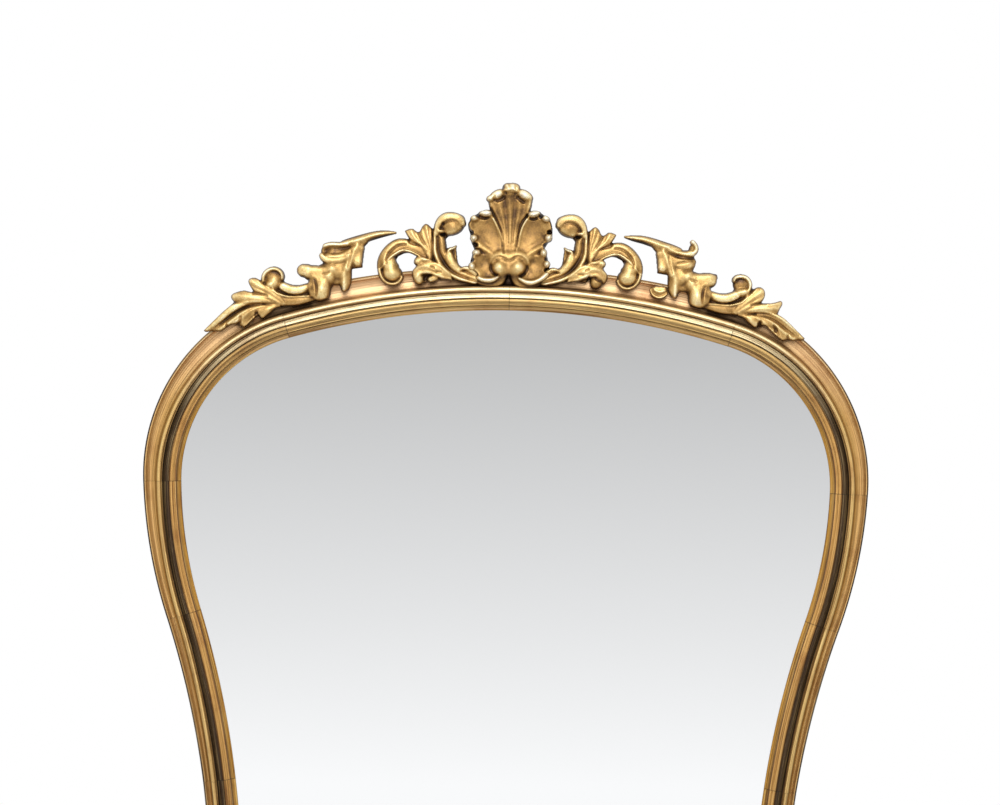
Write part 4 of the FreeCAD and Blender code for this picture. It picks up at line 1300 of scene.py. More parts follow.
# The shell: fluted lobes, a curled top, eggs between them and two volutes at its foot
SHELL = Pattern(
    outline=(
        (440, 960), (500, 970), (550, 955), (575, 925), (585, 895), (630, 885), (700, 860), (715, 840),
        (700, 780), (685, 730), (690, 700), (740, 700), (800, 710), (850, 690), (900, 660), (930, 610),
        (945, 550), (945, 500), (920, 455), (880, 410), (870, 385), (900, 340), (915, 290), (925, 240),
        (935, 190), (910, 150), (870, 110), (800, 80), (720, 60), (650, 65), (580, 85), (530, 110),
        (490, 130), (450, 110), (400, 80), (330, 55), (250, 50), (180, 70), (130, 100), (80, 150), (60, 200),
        (65, 260), (80, 310), (105, 360), (80, 410), (60, 460), (55, 510), (35, 550), (30, 590), (50, 635),
        (90, 670), (120, 690), (170, 705), (240, 710), (280, 700), (265, 760), (245, 820), (300, 860),
        (360, 890), (400, 910), (395, 935),
    ),
    ground=9,
    tone=0.055,
    petals=(
        Petal(
            near=((455, 280), (435, 360), (420, 450), (390, 550), (330, 640), (275, 720), (250, 800),
                (238, 845)),
            rim=((238, 845), (300, 870), (360, 890), (430, 905), (490, 910), (560, 900), (640, 890),
                (725, 870)),
            far=((530, 280), (555, 360), (575, 450), (600, 550), (655, 640), (690, 720), (710, 800),
                (725, 870)),
            rise=(18, 13.8, 13.4, 17), dish=-0.5, ribs=4, rib_height=0.7),
        Petal(
            near=((450, 270), (432, 360), (410, 470), (375, 565), (325, 640), (305, 665)),
            rim=((305, 665), (270, 710), (210, 715), (150, 705), (125, 680), (100, 670), (60, 635), (35, 590),
                (55, 545), (60, 500), (65, 460), (85, 410), (120, 370)),
            far=((400, 250), (330, 285), (260, 325), (190, 355), (120, 370)),
            rise=(20, 13.8, 14, 21), dish=1, ribs=2.5, rib_height=0.5, phase=0.2),
        Petal(
            near=((545, 270), (565, 360), (585, 450), (615, 550), (650, 620), (680, 670)),
            rim=((680, 670), (710, 700), (770, 710), (810, 720), (850, 695), (900, 670), (940, 620),
                (955, 560), (955, 500), (930, 455), (890, 410), (870, 370)),
            far=((600, 250), (670, 285), (740, 325), (800, 355), (870, 370)),
            rise=(20, 13.8, 14, 21), dish=1, ribs=2.5, rib_height=0.5, phase=0.2),
        Petal(
            near=((400, 280), (320, 300), (230, 325), (150, 335), (110, 325)),
            rim=((110, 325), (85, 270), (90, 210), (115, 150), (170, 100), (260, 75), (370, 105)),
            far=((400, 240), (350, 220), (325, 180), (330, 140), (370, 105)),
            rise=(18, 13.4, 15, 22), dish=1, ribs=2, rib_height=0.5, phase=0.1),
        Petal(
            near=((600, 280), (680, 300), (770, 325), (840, 335), (885, 325)),
            rim=((885, 325), (915, 270), (920, 200), (890, 140), (820, 90), (730, 65), (600, 100)),
            far=((580, 240), (640, 220), (665, 180), (650, 140), (600, 100)),
            rise=(18, 13.4, 15, 22), dish=1, ribs=2, rib_height=0.5, phase=0.1),
    ),
    members=(
        Member(Cut.KEELED, ((715, 860, 2, 20), (705, 800, 4, 19), (690, 740, 4, 17), (675, 690, 3, 15))),
        Member(Cut.ROUND, ((405, 905, 8, 20), (440, 916, 11.2, 25), (490, 917.6, 12, 27),
            (545, 915, 11.5, 26), (585, 895, 7, 22))),
        Member(Cut.ROUND, ((165, 700, 3, 26), (210, 690, 7, 31), (255, 695, 7, 31), (290, 710, 4, 26))),
        Member(Cut.ROUND, ((690, 705, 4, 26), (730, 690, 7.5, 31), (780, 700, 6, 29), (810, 715, 3, 24))),
        Member(Cut.KEELED, ((445, 300, 2.5, 20), (420, 420, 3.2, 18), (385, 520, 3.6, 19),
            (335, 610, 3.8, 21), (300, 660, 3.2, 23))),
        Member(Cut.KEELED, ((550, 300, 2.5, 20), (580, 420, 3.2, 18), (605, 520, 3.6, 19),
            (640, 600, 3.8, 21), (685, 660, 3.2, 23))),
        Member(Cut.ROUND, ((140, 420, 5, 15), (200, 375, 9, 15.5), (270, 330, 12, 16.5), (340, 280, 12, 19))),
        Member(Cut.ROUND, ((860, 410, 5, 15), (800, 375, 9, 15.5), (730, 330, 12, 16.5), (660, 280, 12, 19))),
        Member(Cut.ROUND, ((303, 215, 6, 17), (320, 272, 9, 20), (380, 308, 12, 22), (487, 297, 14, 22.5),
            (595, 312, 12, 22), (673, 272, 9, 20), (690, 215, 6, 17))),
        Member(Cut.ROUND, ((100, 155, 2.5, 22), (160, 100, 4, 27), (260, 80, 5, 30), (330, 90, 4.5, 28),
            (385, 120, 2.5, 22))),
        Member(Cut.ROUND, ((585, 110, 2.5, 22), (650, 80, 4.5, 28), (730, 65, 5, 30), (820, 90, 5, 29),
            (890, 135, 6, 27), (925, 170, 4, 22))),
        Member(Cut.SOFT, ((140, 65, 3, 10), (220, 48, 4, 12), (310, 45, 5, 13), (390, 75, 8, 15),
            (420, 130, 10, 17), (420, 190, 9, 19))),
        Member(Cut.SOFT, ((860, 75, 3, 10), (780, 45, 4, 12), (680, 42, 5, 13), (590, 70, 8, 15),
            (555, 130, 10, 17), (550, 190, 9, 19))),
        Member(Cut.SOFT, ((330, 200, 13, 20), (390, 205, 19, 23), (486, 210, 17, 23.5), (580, 205, 19, 23),
            (650, 200, 13, 20))),
    ),
    bosses=(
        Boss(390, 196, 16.5, 14.5, 29.5, -48), Boss(582, 198, 17.5, 15.5, 29.5, 48),
        Boss(105, 646, 9, 6.6, 32, 20), Boss(100, 464, 7.4, 6.8, 31), Boss(132, 331, 8.4, 6.6, 31),
        Boss(85, 205, 7.2, 8, 31), Boss(880, 651, 9, 6.6, 32, -25), Boss(915, 478, 7.4, 7.8, 31),
        Boss(863, 340, 7, 8.4, 31), Boss(902, 237, 6.6, 7.4, 30), Boss(345, 868, 16, 9, 27, 30),
        Boss(272, 832, 8, 6.5, 25, 20), Boss(645, 868, 17, 9.5, 28, -28),
    ),
    cuts=(
        Member(Cut.SOFT, ((325, 125, 1.4, 1.4), (290, 190, 1.4, 2.2), (302, 255, 1.4, 2),
            (355, 296, 1.4, 1.4), (430, 284, 1.4, 1.4), (486, 256, 1.4, 1.4), (540, 286, 1.4, 1.4),
            (610, 302, 1.4, 1.4), (672, 262, 1.4, 2), (687, 190, 1.4, 2.2), (650, 125, 1.4, 1.4))),
        Member(Cut.SOFT, ((145, 705, 3.4, 8.8), (130, 675, 4, 11), (160, 655, 2.9, 6.6))),
        Member(Cut.SOFT, ((160, 655, 2.9, 3.9), (210, 655, 3.4, 4.4), (260, 660, 2.9, 3.9))),
        Member(Cut.SOFT, ((30, 530, 3, 12), (65, 515, 4, 13), (95, 510, 3, 8))),
        Member(Cut.SOFT, ((75, 410, 3.4, 12), (110, 402, 4.2, 12), (145, 395, 2.9, 6.6))),
        Member(Cut.SOFT, ((55, 275, 3, 12), (80, 267, 3.4, 12), (105, 270, 2.6, 6.6))),
        Member(Cut.SOFT, ((80, 160, 3, 12), (115, 135, 4.6, 14), (150, 110, 2.9, 9))),
        Member(Cut.SOFT, ((825, 715, 3.4, 8.8), (840, 690, 4, 11), (810, 665, 2.9, 6.6))),
        Member(Cut.SOFT, ((700, 660, 2.9, 3.3), (740, 655, 3.4, 3.9), (790, 665, 2.9, 3.3))),
        Member(Cut.SOFT, ((960, 540, 3, 12), (925, 530, 3.6, 12), (900, 525, 2.6, 7))),
        Member(Cut.SOFT, ((920, 425, 3.4, 12), (885, 408, 4, 12), (860, 400, 2.9, 7.8))),
        Member(Cut.SOFT, ((935, 285, 3, 12), (900, 285, 3.4, 11), (875, 285, 2.6, 6.6))),
        Member(Cut.SOFT, ((945, 188, 3.2, 12), (910, 183, 4, 12), (875, 180, 2.9, 6.6))),
        Member(Cut.SOFT, ((430, 885, 2.9, 3.3), (490, 893, 3.4, 4.4), (550, 885, 2.9, 3.3))),
        Member(Cut.SOFT, ((330, 808, 2.3, 2.8), (380, 820, 2.9, 3.3), (430, 855, 2.9, 3.3))),
        Member(Cut.SOFT, ((560, 855, 2.9, 3.3), (610, 815, 2.9, 3.3), (645, 795, 2.3, 2.8))),
        Member(Cut.SOFT, ((320, 865, 2.3, 3.3), (315, 835, 2.9, 3.9), (325, 810, 2.3, 2.8))),
        Member(Cut.SOFT, ((402, 920, 2, 3), (415, 935, 3.5, 5), (440, 930, 3, 3.5), (455, 910, 1.8, 2))),
        Member(Cut.SOFT, ((462, 975, 1.6, 2), (475, 945, 2, 2.6), (490, 910, 1.6, 2))),
        Member(Cut.SOFT, ((535, 965, 1.4, 1.6), (545, 935, 1.8, 2.2), (550, 905, 1.6, 2))),
        Member(Cut.SOFT, ((430, 330, 1.8, 2.8), (415, 420, 2.1, 2.8), (385, 530, 2.3, 2.8),
            (345, 620, 2.5, 3.3), (305, 690, 2.5, 3.9), (275, 750, 2.5, 3.9))),
        Member(Cut.SOFT, ((570, 390, 2.1, 2.8), (585, 480, 2.1, 2.8), (605, 570, 2.3, 2.8),
            (645, 640, 2.5, 3.3), (685, 680, 2.3, 2.8))),
        Member(Cut.SOFT, ((425, 840, 3, 0.6), (440, 720, 4, 0.9), (455, 580, 3, 1), (465, 420, 2, 0.8))),
        Member(Cut.SOFT, ((555, 840, 3, 0.6), (540, 720, 4, 0.9), (530, 580, 3, 1), (520, 420, 2, 0.8))),
    ),
    # Painted shade on the middle petal, the notches and the rims; below zero, painted highlights on the eggs
    # and curls.
    painted_shades=(
        Boss(490, 720, 30, 44, 0.11), Boss(260, 540, 22, 16, 0.05, 50), Boss(430, 125, 9, 13, 0.08),
        Boss(545, 125, 9, 13, 0.08), Boss(345, 868, 15, 9, -0.18, 30), Boss(640, 868, 16, 10, -0.18, -28),
        Boss(505, 945, 14, 9, -0.16), Boss(225, 695, 13, 7, -0.14), Boss(750, 695, 13, 7, -0.14),
        Boss(750, 550, 22, 16, 0.07, -50), Boss(490, 90, 8, 12, 0.3), Boss(60, 590, 5.5, 11, 0.22, 8),
        Boss(68, 517, 6, 4.5, 0.4), Boss(110, 403, 7, 5, 0.35), Boss(80, 268, 6.5, 4, 0.4),
        Boss(115, 135, 8, 5.5, 0.4, -40), Boss(938, 580, 5.5, 11, 0.22, -8), Boss(925, 530, 6.5, 4, 0.3),
        Boss(885, 410, 7, 5, 0.35), Boss(905, 285, 6.5, 4, 0.35), Boss(912, 183, 7, 5, 0.3),
        Boss(140, 670, 6, 6, 0.25), Boss(830, 680, 6, 6, 0.25),
    ),
)


# The C-scrolls, which differ by hand in a few members: a leaf, balls and an outer scroll
SCROLL_OUTLINE = (
    (0, 90), (0, 190), (50, 225), (100, 265), (170, 295), (205, 320), (228, 370), (237, 430), (230, 490),
    (240, 525), (265, 505), (300, 495), (325, 520), (338, 570), (333, 615), (300, 660), (240, 690),
    (190, 718), (160, 745), (148, 800), (155, 855), (190, 895), (260, 915), (320, 908), (375, 870),
    (415, 810), (455, 735), (500, 750), (535, 775), (570, 740), (600, 685), (650, 720), (705, 715),
    (725, 700), (715, 655), (700, 610), (760, 600), (830, 560), (890, 505), (940, 430), (970, 350),
    (975, 250), (950, 150), (900, 85), (840, 55), (785, 70), (750, 115), (745, 170), (770, 220), (820, 285),
    (825, 340), (795, 400), (740, 435), (670, 445), (615, 425), (630, 370), (620, 310), (645, 260),
    (650, 190), (635, 130), (570, 85), (515, 105), (490, 175), (450, 130), (330, 140), (240, 130), (140, 100),
)
SCROLL_MEMBERS = (
    Member(Cut.TWIN, ((435, 730, 6, 16), (415, 660, 9.5, 17), (402, 580, 12, 18), (398, 500, 13, 18),
        (380, 420, 13.5, 18), (345, 345, 13.5, 18), (285, 270, 13, 17), (200, 205, 11, 16), (110, 165, 9, 15),
        (15, 130, 7, 14))),
    Member(Cut.SOFT, ((430, 640, 4, 17), (425, 720, 6, 19), (400, 800, 8, 21), (345, 860, 9, 22),
        (275, 872, 8.5, 22), (210, 845, 8, 21), (178, 790, 6.5, 19), (175, 755, 5, 17))),
    Member(Cut.SOFT, ((175, 775, 7, 15), (220, 765, 11, 18), (275, 745, 13, 19), (330, 710, 10, 18),
        (360, 690, 6, 16))),
    Member(Cut.ROUND, ((350, 685, 3, 18), (385, 700, 5, 21), (425, 690, 3, 19))),
    Member(Cut.SOFT, ((170, 235, 4.5, 13), (235, 285, 7.5, 15), (285, 360, 8.5, 16), (305, 440, 6.5, 16),
        (315, 475, 3.5, 16))),
    Member(Cut.CUPPED, ((225, 300, 4, 10), (255, 370, 6, 12), (262, 440, 6, 13), (255, 500, 4, 14),
        (240, 535, 1.5, 13))),
    Member(Cut.ROUND, ((232, 540, 1.5, 13), (262, 508, 2.8, 17), (300, 490, 3.6, 19), (318, 455, 2.6, 17))),
    Member(Cut.SOFT, ((20, 190, 4, 12), (70, 240, 5.5, 14), (120, 270, 5, 15), (180, 275, 3, 14))),
    Member(Cut.RIMMED, ((985, 240, 3, 14), (965, 310, 7, 17), (925, 395, 10.5, 19), (860, 475, 12.5, 19),
        (775, 530, 12.5, 18), (690, 520, 11, 17), (600, 475, 10.5, 16), (530, 420, 9.5, 15),
        (475, 355, 7, 14))),
    Member(Cut.SOFT, ((868, 430, 9.5, 15), (885, 340, 13.5, 17.5), (868, 250, 16, 20))),
    Member(Cut.ROUND, ((978, 270, 4, 16), (955, 160, 4, 16), (895, 92, 4, 15), (825, 85, 4, 15),
        (775, 125, 3.8, 15), (750, 180, 3, 14))),
)
SCROLL_PETALS = (
    Petal(
        near=((470, 340), (462, 450), (465, 560), (470, 660), (475, 735)),
        rim=((475, 735), (500, 765), (535, 785), (568, 755), (592, 700), (615, 685), (655, 722), (695, 722),
            (738, 700)),
        far=((495, 370), (545, 470), (610, 550), (680, 600), (738, 700)),
        rise=(14, 15, 14, 10), dish=1, ribs=5, rib_height=0.9, phase=0.1),
    Petal(
        near=((310, 235), (380, 310), (460, 360), (540, 395), (605, 405)),
        rim=((605, 405), (635, 380), (637, 340), (617, 300), (635, 265), (660, 225), (655, 170), (625, 120)),
        far=((270, 135), (360, 150), (440, 185), (530, 200), (580, 175), (625, 120)),
        rise=(15, 18, 18, 12), dish=-2.5, ribs=2.5, rib_height=0.7, phase=0.3),
)
SCROLL_CUTS = (
    Member(Cut.SOFT, ((225, 812, 1.6, 0.8), (280, 826, 2.2, 1.4), (340, 806, 2.6, 2), (385, 755, 2.2, 2.4),
        (400, 720, 1.6, 1.6))),
    Member(Cut.SOFT, ((345, 668, 1.8, 3.3), (372, 663, 3, 5), (395, 668, 1.8, 3.3))),
    Member(Cut.SOFT, ((415, 600, 1.4, 0.8), (410, 500, 1.6, 1), (375, 400, 1.8, 1.5), (345, 335, 2.3, 1.8),
        (285, 255, 2.1, 1.5), (200, 195, 1.8, 1.3), (100, 155, 1.6, 1))),
    Member(Cut.SOFT, ((468, 690, 1.1, 1.7), (466, 560, 1.4, 2.2), (468, 450, 1.4, 2.2),
        (475, 360, 1.1, 1.7))),
    Member(Cut.SOFT, ((610, 680, 1.4, 2), (575, 610, 1.4, 1.6), (540, 540, 1.2, 1))),
    Member(Cut.SOFT, ((520, 450, 1.1, 1.1), (600, 535, 1.5, 2), (690, 575, 2.1, 3.3), (700, 600, 2.1, 3.3))),
    Member(Cut.SOFT, ((915, 310, 1.8, 2.8), (900, 400, 2.3, 3.3), (860, 470, 2.3, 3.3), (790, 530, 2.1, 2.8),
        (720, 540, 1.6, 2.2))),
    Member(Cut.SOFT, ((945, 240, 1.5, 1.4), (925, 150, 1.7, 1.8), (865, 100, 1.8, 2.2), (800, 115, 1.8, 2.2),
        (765, 165, 1.5, 1.6))),
    Member(Cut.SOFT, ((440, 345, 1.6, 2.2), (500, 345, 1.8, 2.2), (570, 340, 1.6, 1.7))),
    Member(Cut.SOFT, ((440, 265, 1.6, 2.2), (480, 290, 1.6, 2.2))),
    Member(Cut.SOFT, ((370, 225, 1.6, 2.2), (430, 225, 1.8, 2.2))),
    Member(Cut.SOFT, ((100, 250, 1.4, 2.2), (150, 255, 2.1, 3.3), (195, 235, 1.6, 2.8))),
)
SCROLL_BOSSES = (
    Boss(855, 200, 19, 15.5, 23.5), Boss(870, 270, 16, 14, 21), Boss(265, 745, 19, 13, 21.5, -18),
    Boss(295, 800, 27, 15.5, 22, -20),
)
# Painted shade in the crook, the stem's channel and under the outer rims.
SCROLL_PAINTED_SHADES = (
    Boss(290, 775, 22, 11, 0.16, -20), Boss(375, 580, 10, 30, 0.12), Boss(345, 360, 8, 16, 0.1, -35),
    Boss(800, 460, 20, 9, 0.08, -40), Boss(900, 130, 14, 7, 0.04),
)
SCROLL_RIGHT = Pattern(
    outline=SCROLL_OUTLINE,
    petals=SCROLL_PETALS,
    bosses=SCROLL_BOSSES + (Boss(552, 150, 13.5, 12, 19, 70), Boss(610, 355, 6, 6.5, 17)),
    members=SCROLL_MEMBERS,
    cuts=SCROLL_CUTS + (
        Member(Cut.SOFT, ((476, 215, 1.8, 4), (482, 180, 2.5, 6.5), (478, 135, 2.5, 6.5))),
        Member(Cut.SOFT, ((530, 200, 1.7, 2.8), (560, 165, 2.1, 3.3), (600, 150, 1.6, 2.2))),
    ),
    # The right scroll adds painted shade on its knob.
    painted_shades=SCROLL_PAINTED_SHADES + (Boss(555, 140, 13, 11, 0.2, 70),),
    tone=0.02,
)
SCROLL_LEFT = Pattern(
    outline=SCROLL_OUTLINE,
    petals=SCROLL_PETALS,
    bosses=SCROLL_BOSSES + (Boss(600, 160, 14, 10, 19, 70), Boss(610, 340, 7, 7, 17)),
    members=SCROLL_MEMBERS + (Member(Cut.SOFT, ((400, 175, 5, 14), (460, 150, 6.5, 15), (505, 125, 4, 13))),),
    cuts=SCROLL_CUTS + (
        Member(Cut.SOFT, ((505, 185, 1.8, 3), (530, 155, 3.2, 6), (543, 125, 2.6, 5))),
        Member(Cut.SOFT, ((360, 800, 2.3, 2.8), (375, 775, 2.3, 3.3))),
    ),
    painted_shades=SCROLL_PAINTED_SHADES,
    tone=0.02,
)

# The leaf sprays: a horn at the inner end, lobes, a curl and a leaf that tapers outward
SPRAY_OUTLINE_RIGHT = (
    (20, 970), (60, 980), (110, 977), (160, 957), (210, 925), (260, 893), (295, 858), (335, 845), (345, 900),
    (362, 940), (383, 900), (384, 840), (372, 800), (384, 760), (378, 715), (368, 675), (410, 650),
    (460, 660), (490, 650), (495, 610), (472, 565), (448, 530), (445, 495), (480, 468), (520, 462),
    (558, 480), (575, 520), (572, 575), (588, 620), (618, 640), (645, 625), (662, 580), (668, 530),
    (690, 520), (715, 530), (730, 500), (728, 450), (716, 405), (735, 385), (765, 390), (800, 405),
    (818, 405), (812, 350), (802, 300), (845, 240), (885, 170), (915, 110), (940, 80), (920, 65), (880, 60),
    (835, 65), (805, 135), (775, 185), (732, 190), (700, 175), (665, 195), (630, 262), (560, 282), (500, 295),
    (445, 325), (405, 335), (378, 355), (350, 420), (330, 480), (300, 480), (275, 415), (250, 445),
    (238, 500), (236, 560), (236, 630), (200, 640), (182, 645), (184, 700), (186, 770), (176, 830),
    (150, 885), (110, 930), (60, 945),
)
SPRAY_OUTLINE_LEFT = (
    (20, 970), (60, 980), (120, 970), (170, 945), (210, 915), (260, 885), (300, 860), (350, 860), (390, 840),
    (398, 800), (398, 745), (378, 690), (410, 660), (460, 665), (500, 655), (508, 610), (480, 565),
    (448, 530), (445, 495), (480, 468), (520, 462), (558, 480), (585, 520), (585, 575), (600, 615),
    (630, 635), (660, 620), (680, 580), (690, 520), (720, 515), (755, 520), (755, 480), (735, 430),
    (750, 395), (790, 412), (825, 395), (844, 366), (830, 325), (860, 270), (910, 190), (950, 115), (980, 50),
    (930, 40), (880, 70), (835, 115), (790, 90), (755, 160), (722, 200), (690, 175), (665, 195), (630, 262),
    (560, 282), (500, 295), (445, 325), (405, 335), (378, 355), (350, 420), (330, 480), (300, 480),
    (275, 415), (250, 445), (238, 500), (236, 560), (236, 630), (200, 640), (182, 645), (184, 700),
    (186, 770), (176, 830), (150, 885), (110, 930), (60, 945),
)
SPRAY_MEMBERS = (
    Member(Cut.SOFT, ((185, 850, 5, 13), (205, 780, 9, 14.5), (210, 710, 9.5, 16), (206, 655, 8.5, 17))),
    Member(Cut.ROUND, ((205, 870, 5, 15), (230, 780, 8, 17), (250, 690, 8, 17.5), (265, 600, 7, 16))),
    Member(Cut.KEELED, ((245, 780, 7, 14), (262, 680, 10, 16), (275, 580, 10, 17), (275, 490, 8.5, 17),
        (276, 425, 4, 14))),
    Member(Cut.SOFT, ((380, 570, 12, 17), (392, 500, 17, 19.5), (398, 430, 18.5, 20.5), (402, 370, 16, 19),
        (404, 335, 9, 14))),
    Member(Cut.SOFT, ((345, 610, 10, 16), (400, 590, 13, 18), (450, 592, 13.5, 18.5), (486, 612, 10.5, 17))),
    Member(Cut.SOFT, ((425, 560, 6, 15), (436, 500, 8, 18.5), (436, 430, 8, 19), (428, 375, 6, 17))),
    Member(Cut.RIMMED, ((420, 360, 4, 14), (470, 350, 7.5, 17), (540, 335, 9.5, 18), (600, 350, 9.5, 18),
        (645, 410, 8, 18), (660, 480, 6.5, 17))),
    Member(Cut.SOFT, ((285, 700, 10, 14), (297, 620, 13, 16), (305, 540, 11, 15.5))),
    Member(Cut.SOFT, ((440, 490, 4, 14), (475, 452, 7.5, 18), (520, 430, 9, 19.5), (565, 445, 9, 19.5),
        (605, 480, 7.5, 19))),
)
SPRAY_CUTS = (
    Member(Cut.SOFT, ((455, 405, 1.6, 2.2), (510, 382, 2.1, 3.3), (570, 395, 2.1, 3.3),
        (610, 440, 1.6, 2.2))),
    Member(Cut.SOFT, ((345, 600, 1.6, 1.4), (365, 585, 2.2, 2.2), (385, 575, 1.6, 1.4))),
    Member(Cut.SOFT, ((425, 535, 1.4, 1.8), (413, 470, 1.8, 3.6), (415, 370, 1.4, 1.8))),
    Member(Cut.SOFT, ((620, 305, 1.4, 1.7), (680, 305, 1.8, 2.8), (740, 295, 2.3, 3.9), (800, 250, 2.3, 3.9),
        (860, 175, 2.1, 3.3), (910, 105, 1.4, 2.2))),
    Member(Cut.SOFT, ((660, 370, 1.4, 2.2), (710, 390, 2.1, 3.3), (740, 390, 1.6, 2.8))),
    Member(Cut.SOFT, ((240, 800, 1.4, 1.7), (247, 720, 1.6, 2.2), (258, 640, 1.4, 1.7))),
)
SPRAY_RIGHT = Pattern(
    outline=SPRAY_OUTLINE_RIGHT,
    petals=(
        Petal(
            near=((570, 310), (600, 380), (635, 440), (665, 490), (680, 525)),
            rim=((680, 525), (705, 540), (728, 515), (732, 460), (712, 395)),
            far=((590, 290), (630, 330), (670, 360), (712, 395)),
            rise=(13, 16, 17, 13), dish=-1, ribs=3, rib_height=0.8, phase=0.2),
        Petal(
            near=((600, 310), (650, 360), (700, 390), (760, 395), (815, 420)),
            rim=((815, 420), (822, 405), (812, 355), (800, 300)),
            far=((600, 285), (660, 300), (730, 305), (800, 300)),
            rise=(13, 17, 18, 12), dish=-1.5, ribs=2, rib_height=0.7, phase=0.1),
        Petal(
            near=((690, 310), (760, 310), (810, 285), (870, 200), (940, 85)),
            rim=((940, 85), (935, 78), (925, 70)),
            far=((690, 290), (750, 275), (800, 235), (860, 155), (925, 70)),
            rise=(14, 18, 17, 9), dish=-1, ribs=1, rib_height=0.5, phase=0.5),
        Petal(
            near=((600, 285), (690, 290), (770, 250), (840, 165), (905, 90)),
            rim=((905, 90), (880, 62), (855, 85), (835, 62), (808, 100), (795, 165), (765, 180), (735, 195),
                (715, 220), (690, 178), (665, 200), (645, 245)),
            far=((600, 280), (615, 275), (630, 260), (645, 245)),
            rise=(12, 15, 15, 11), dish=-1.5, ribs=4, rib_height=1.2, phase=0.15),
    ),
    members=(
        Member(Cut.KEELED, ((12, 970, 1.4, 9), (60, 959, 5, 11), (110, 946, 6.8, 13), (160, 922, 7.8, 15),
            (210, 892, 8.4, 16), (265, 868, 7, 16), (310, 850, 4, 14))),
        Member(Cut.SOFT, ((220, 830, 4, 12), (270, 765, 10, 15), (325, 735, 13, 16), (365, 735, 9, 15))),
        Member(Cut.SOFT, ((230, 855, 5, 14), (290, 825, 7, 15), (345, 820, 7.5, 15), (372, 840, 5, 15))),
        Member(Cut.ROUND, ((360, 825, 5, 15), (378, 860, 4.5, 16), (376, 900, 4.2, 17), (358, 935, 4.5, 18))),
    ) + SPRAY_MEMBERS + (
        Member(Cut.CUPPED, ((155, 520, 3, 10), (172, 470, 6.5, 12), (205, 455, 7, 13), (235, 490, 5, 12))),
        Member(Cut.SOFT, ((165, 515, 4, 9), (200, 500, 7, 10), (235, 510, 5, 10))),
        Member(Cut.ROUND, ((572, 575, 3, 16), (578, 612, 4, 18.5), (606, 630, 4.5, 20), (640, 612, 4.5, 20),
            (655, 555, 4.5, 19), (645, 490, 3.5, 17))),
    ),
    bosses=(
        Boss(338, 620, 14, 12, 19.5), Boss(615, 560, 16, 15.5, 12.5), Boss(632, 495, 10, 8, 19),
        Boss(360, 932, 4.8, 4.8, 19), Boss(360, 550, 17, 13, 20, -60), Boss(388, 440, 13, 19, 23.5),
        Boss(612, 485, 13, 9, 19.5),
    ),
    cuts=SPRAY_CUTS + (
        Member(Cut.SOFT, ((235, 840, 1.8, 2.2), (285, 805, 3.4, 4.4), (335, 790, 3.7, 4.4),
            (375, 790, 2.5, 3.3))),
        Member(Cut.SOFT, ((280, 730, 1.4, 1.7), (330, 755, 1.8, 2.2), (365, 760, 1.4, 1.7))),
        Member(Cut.SOFT, ((245, 880, 1.4, 1.7), (290, 855, 1.8, 2.2), (335, 845, 1.6, 2.2))),
        Member(Cut.SOFT, ((715, 235, 2.3, 3.9), (705, 200, 3.4, 5), (710, 170, 2.9, 4.4))),
        Member(Cut.SOFT, ((775, 200, 1.8, 2.8), (790, 160, 2.8, 3.9), (785, 130, 2.8, 3.9))),
        Member(Cut.SOFT, ((850, 115, 1.6, 2.8), (853, 85, 2.3, 3.9))),
    ),
    ground=11,
    # Painted shade in the curl's hollow, under the horn and on the outer lobe.
    painted_shades=(
        Boss(604, 587, 10.5, 8.5, 0.24), Boss(310, 770, 22, 9, 0.1, -10), Boss(540, 330, 30, 7, 0.12),
        Boss(90, 925, 34, 4, 0.4, -9), Boss(434, 440, 8, 22, 0.24), Boss(730, 220, 22, 7, 0.1, -30),
    ),
)
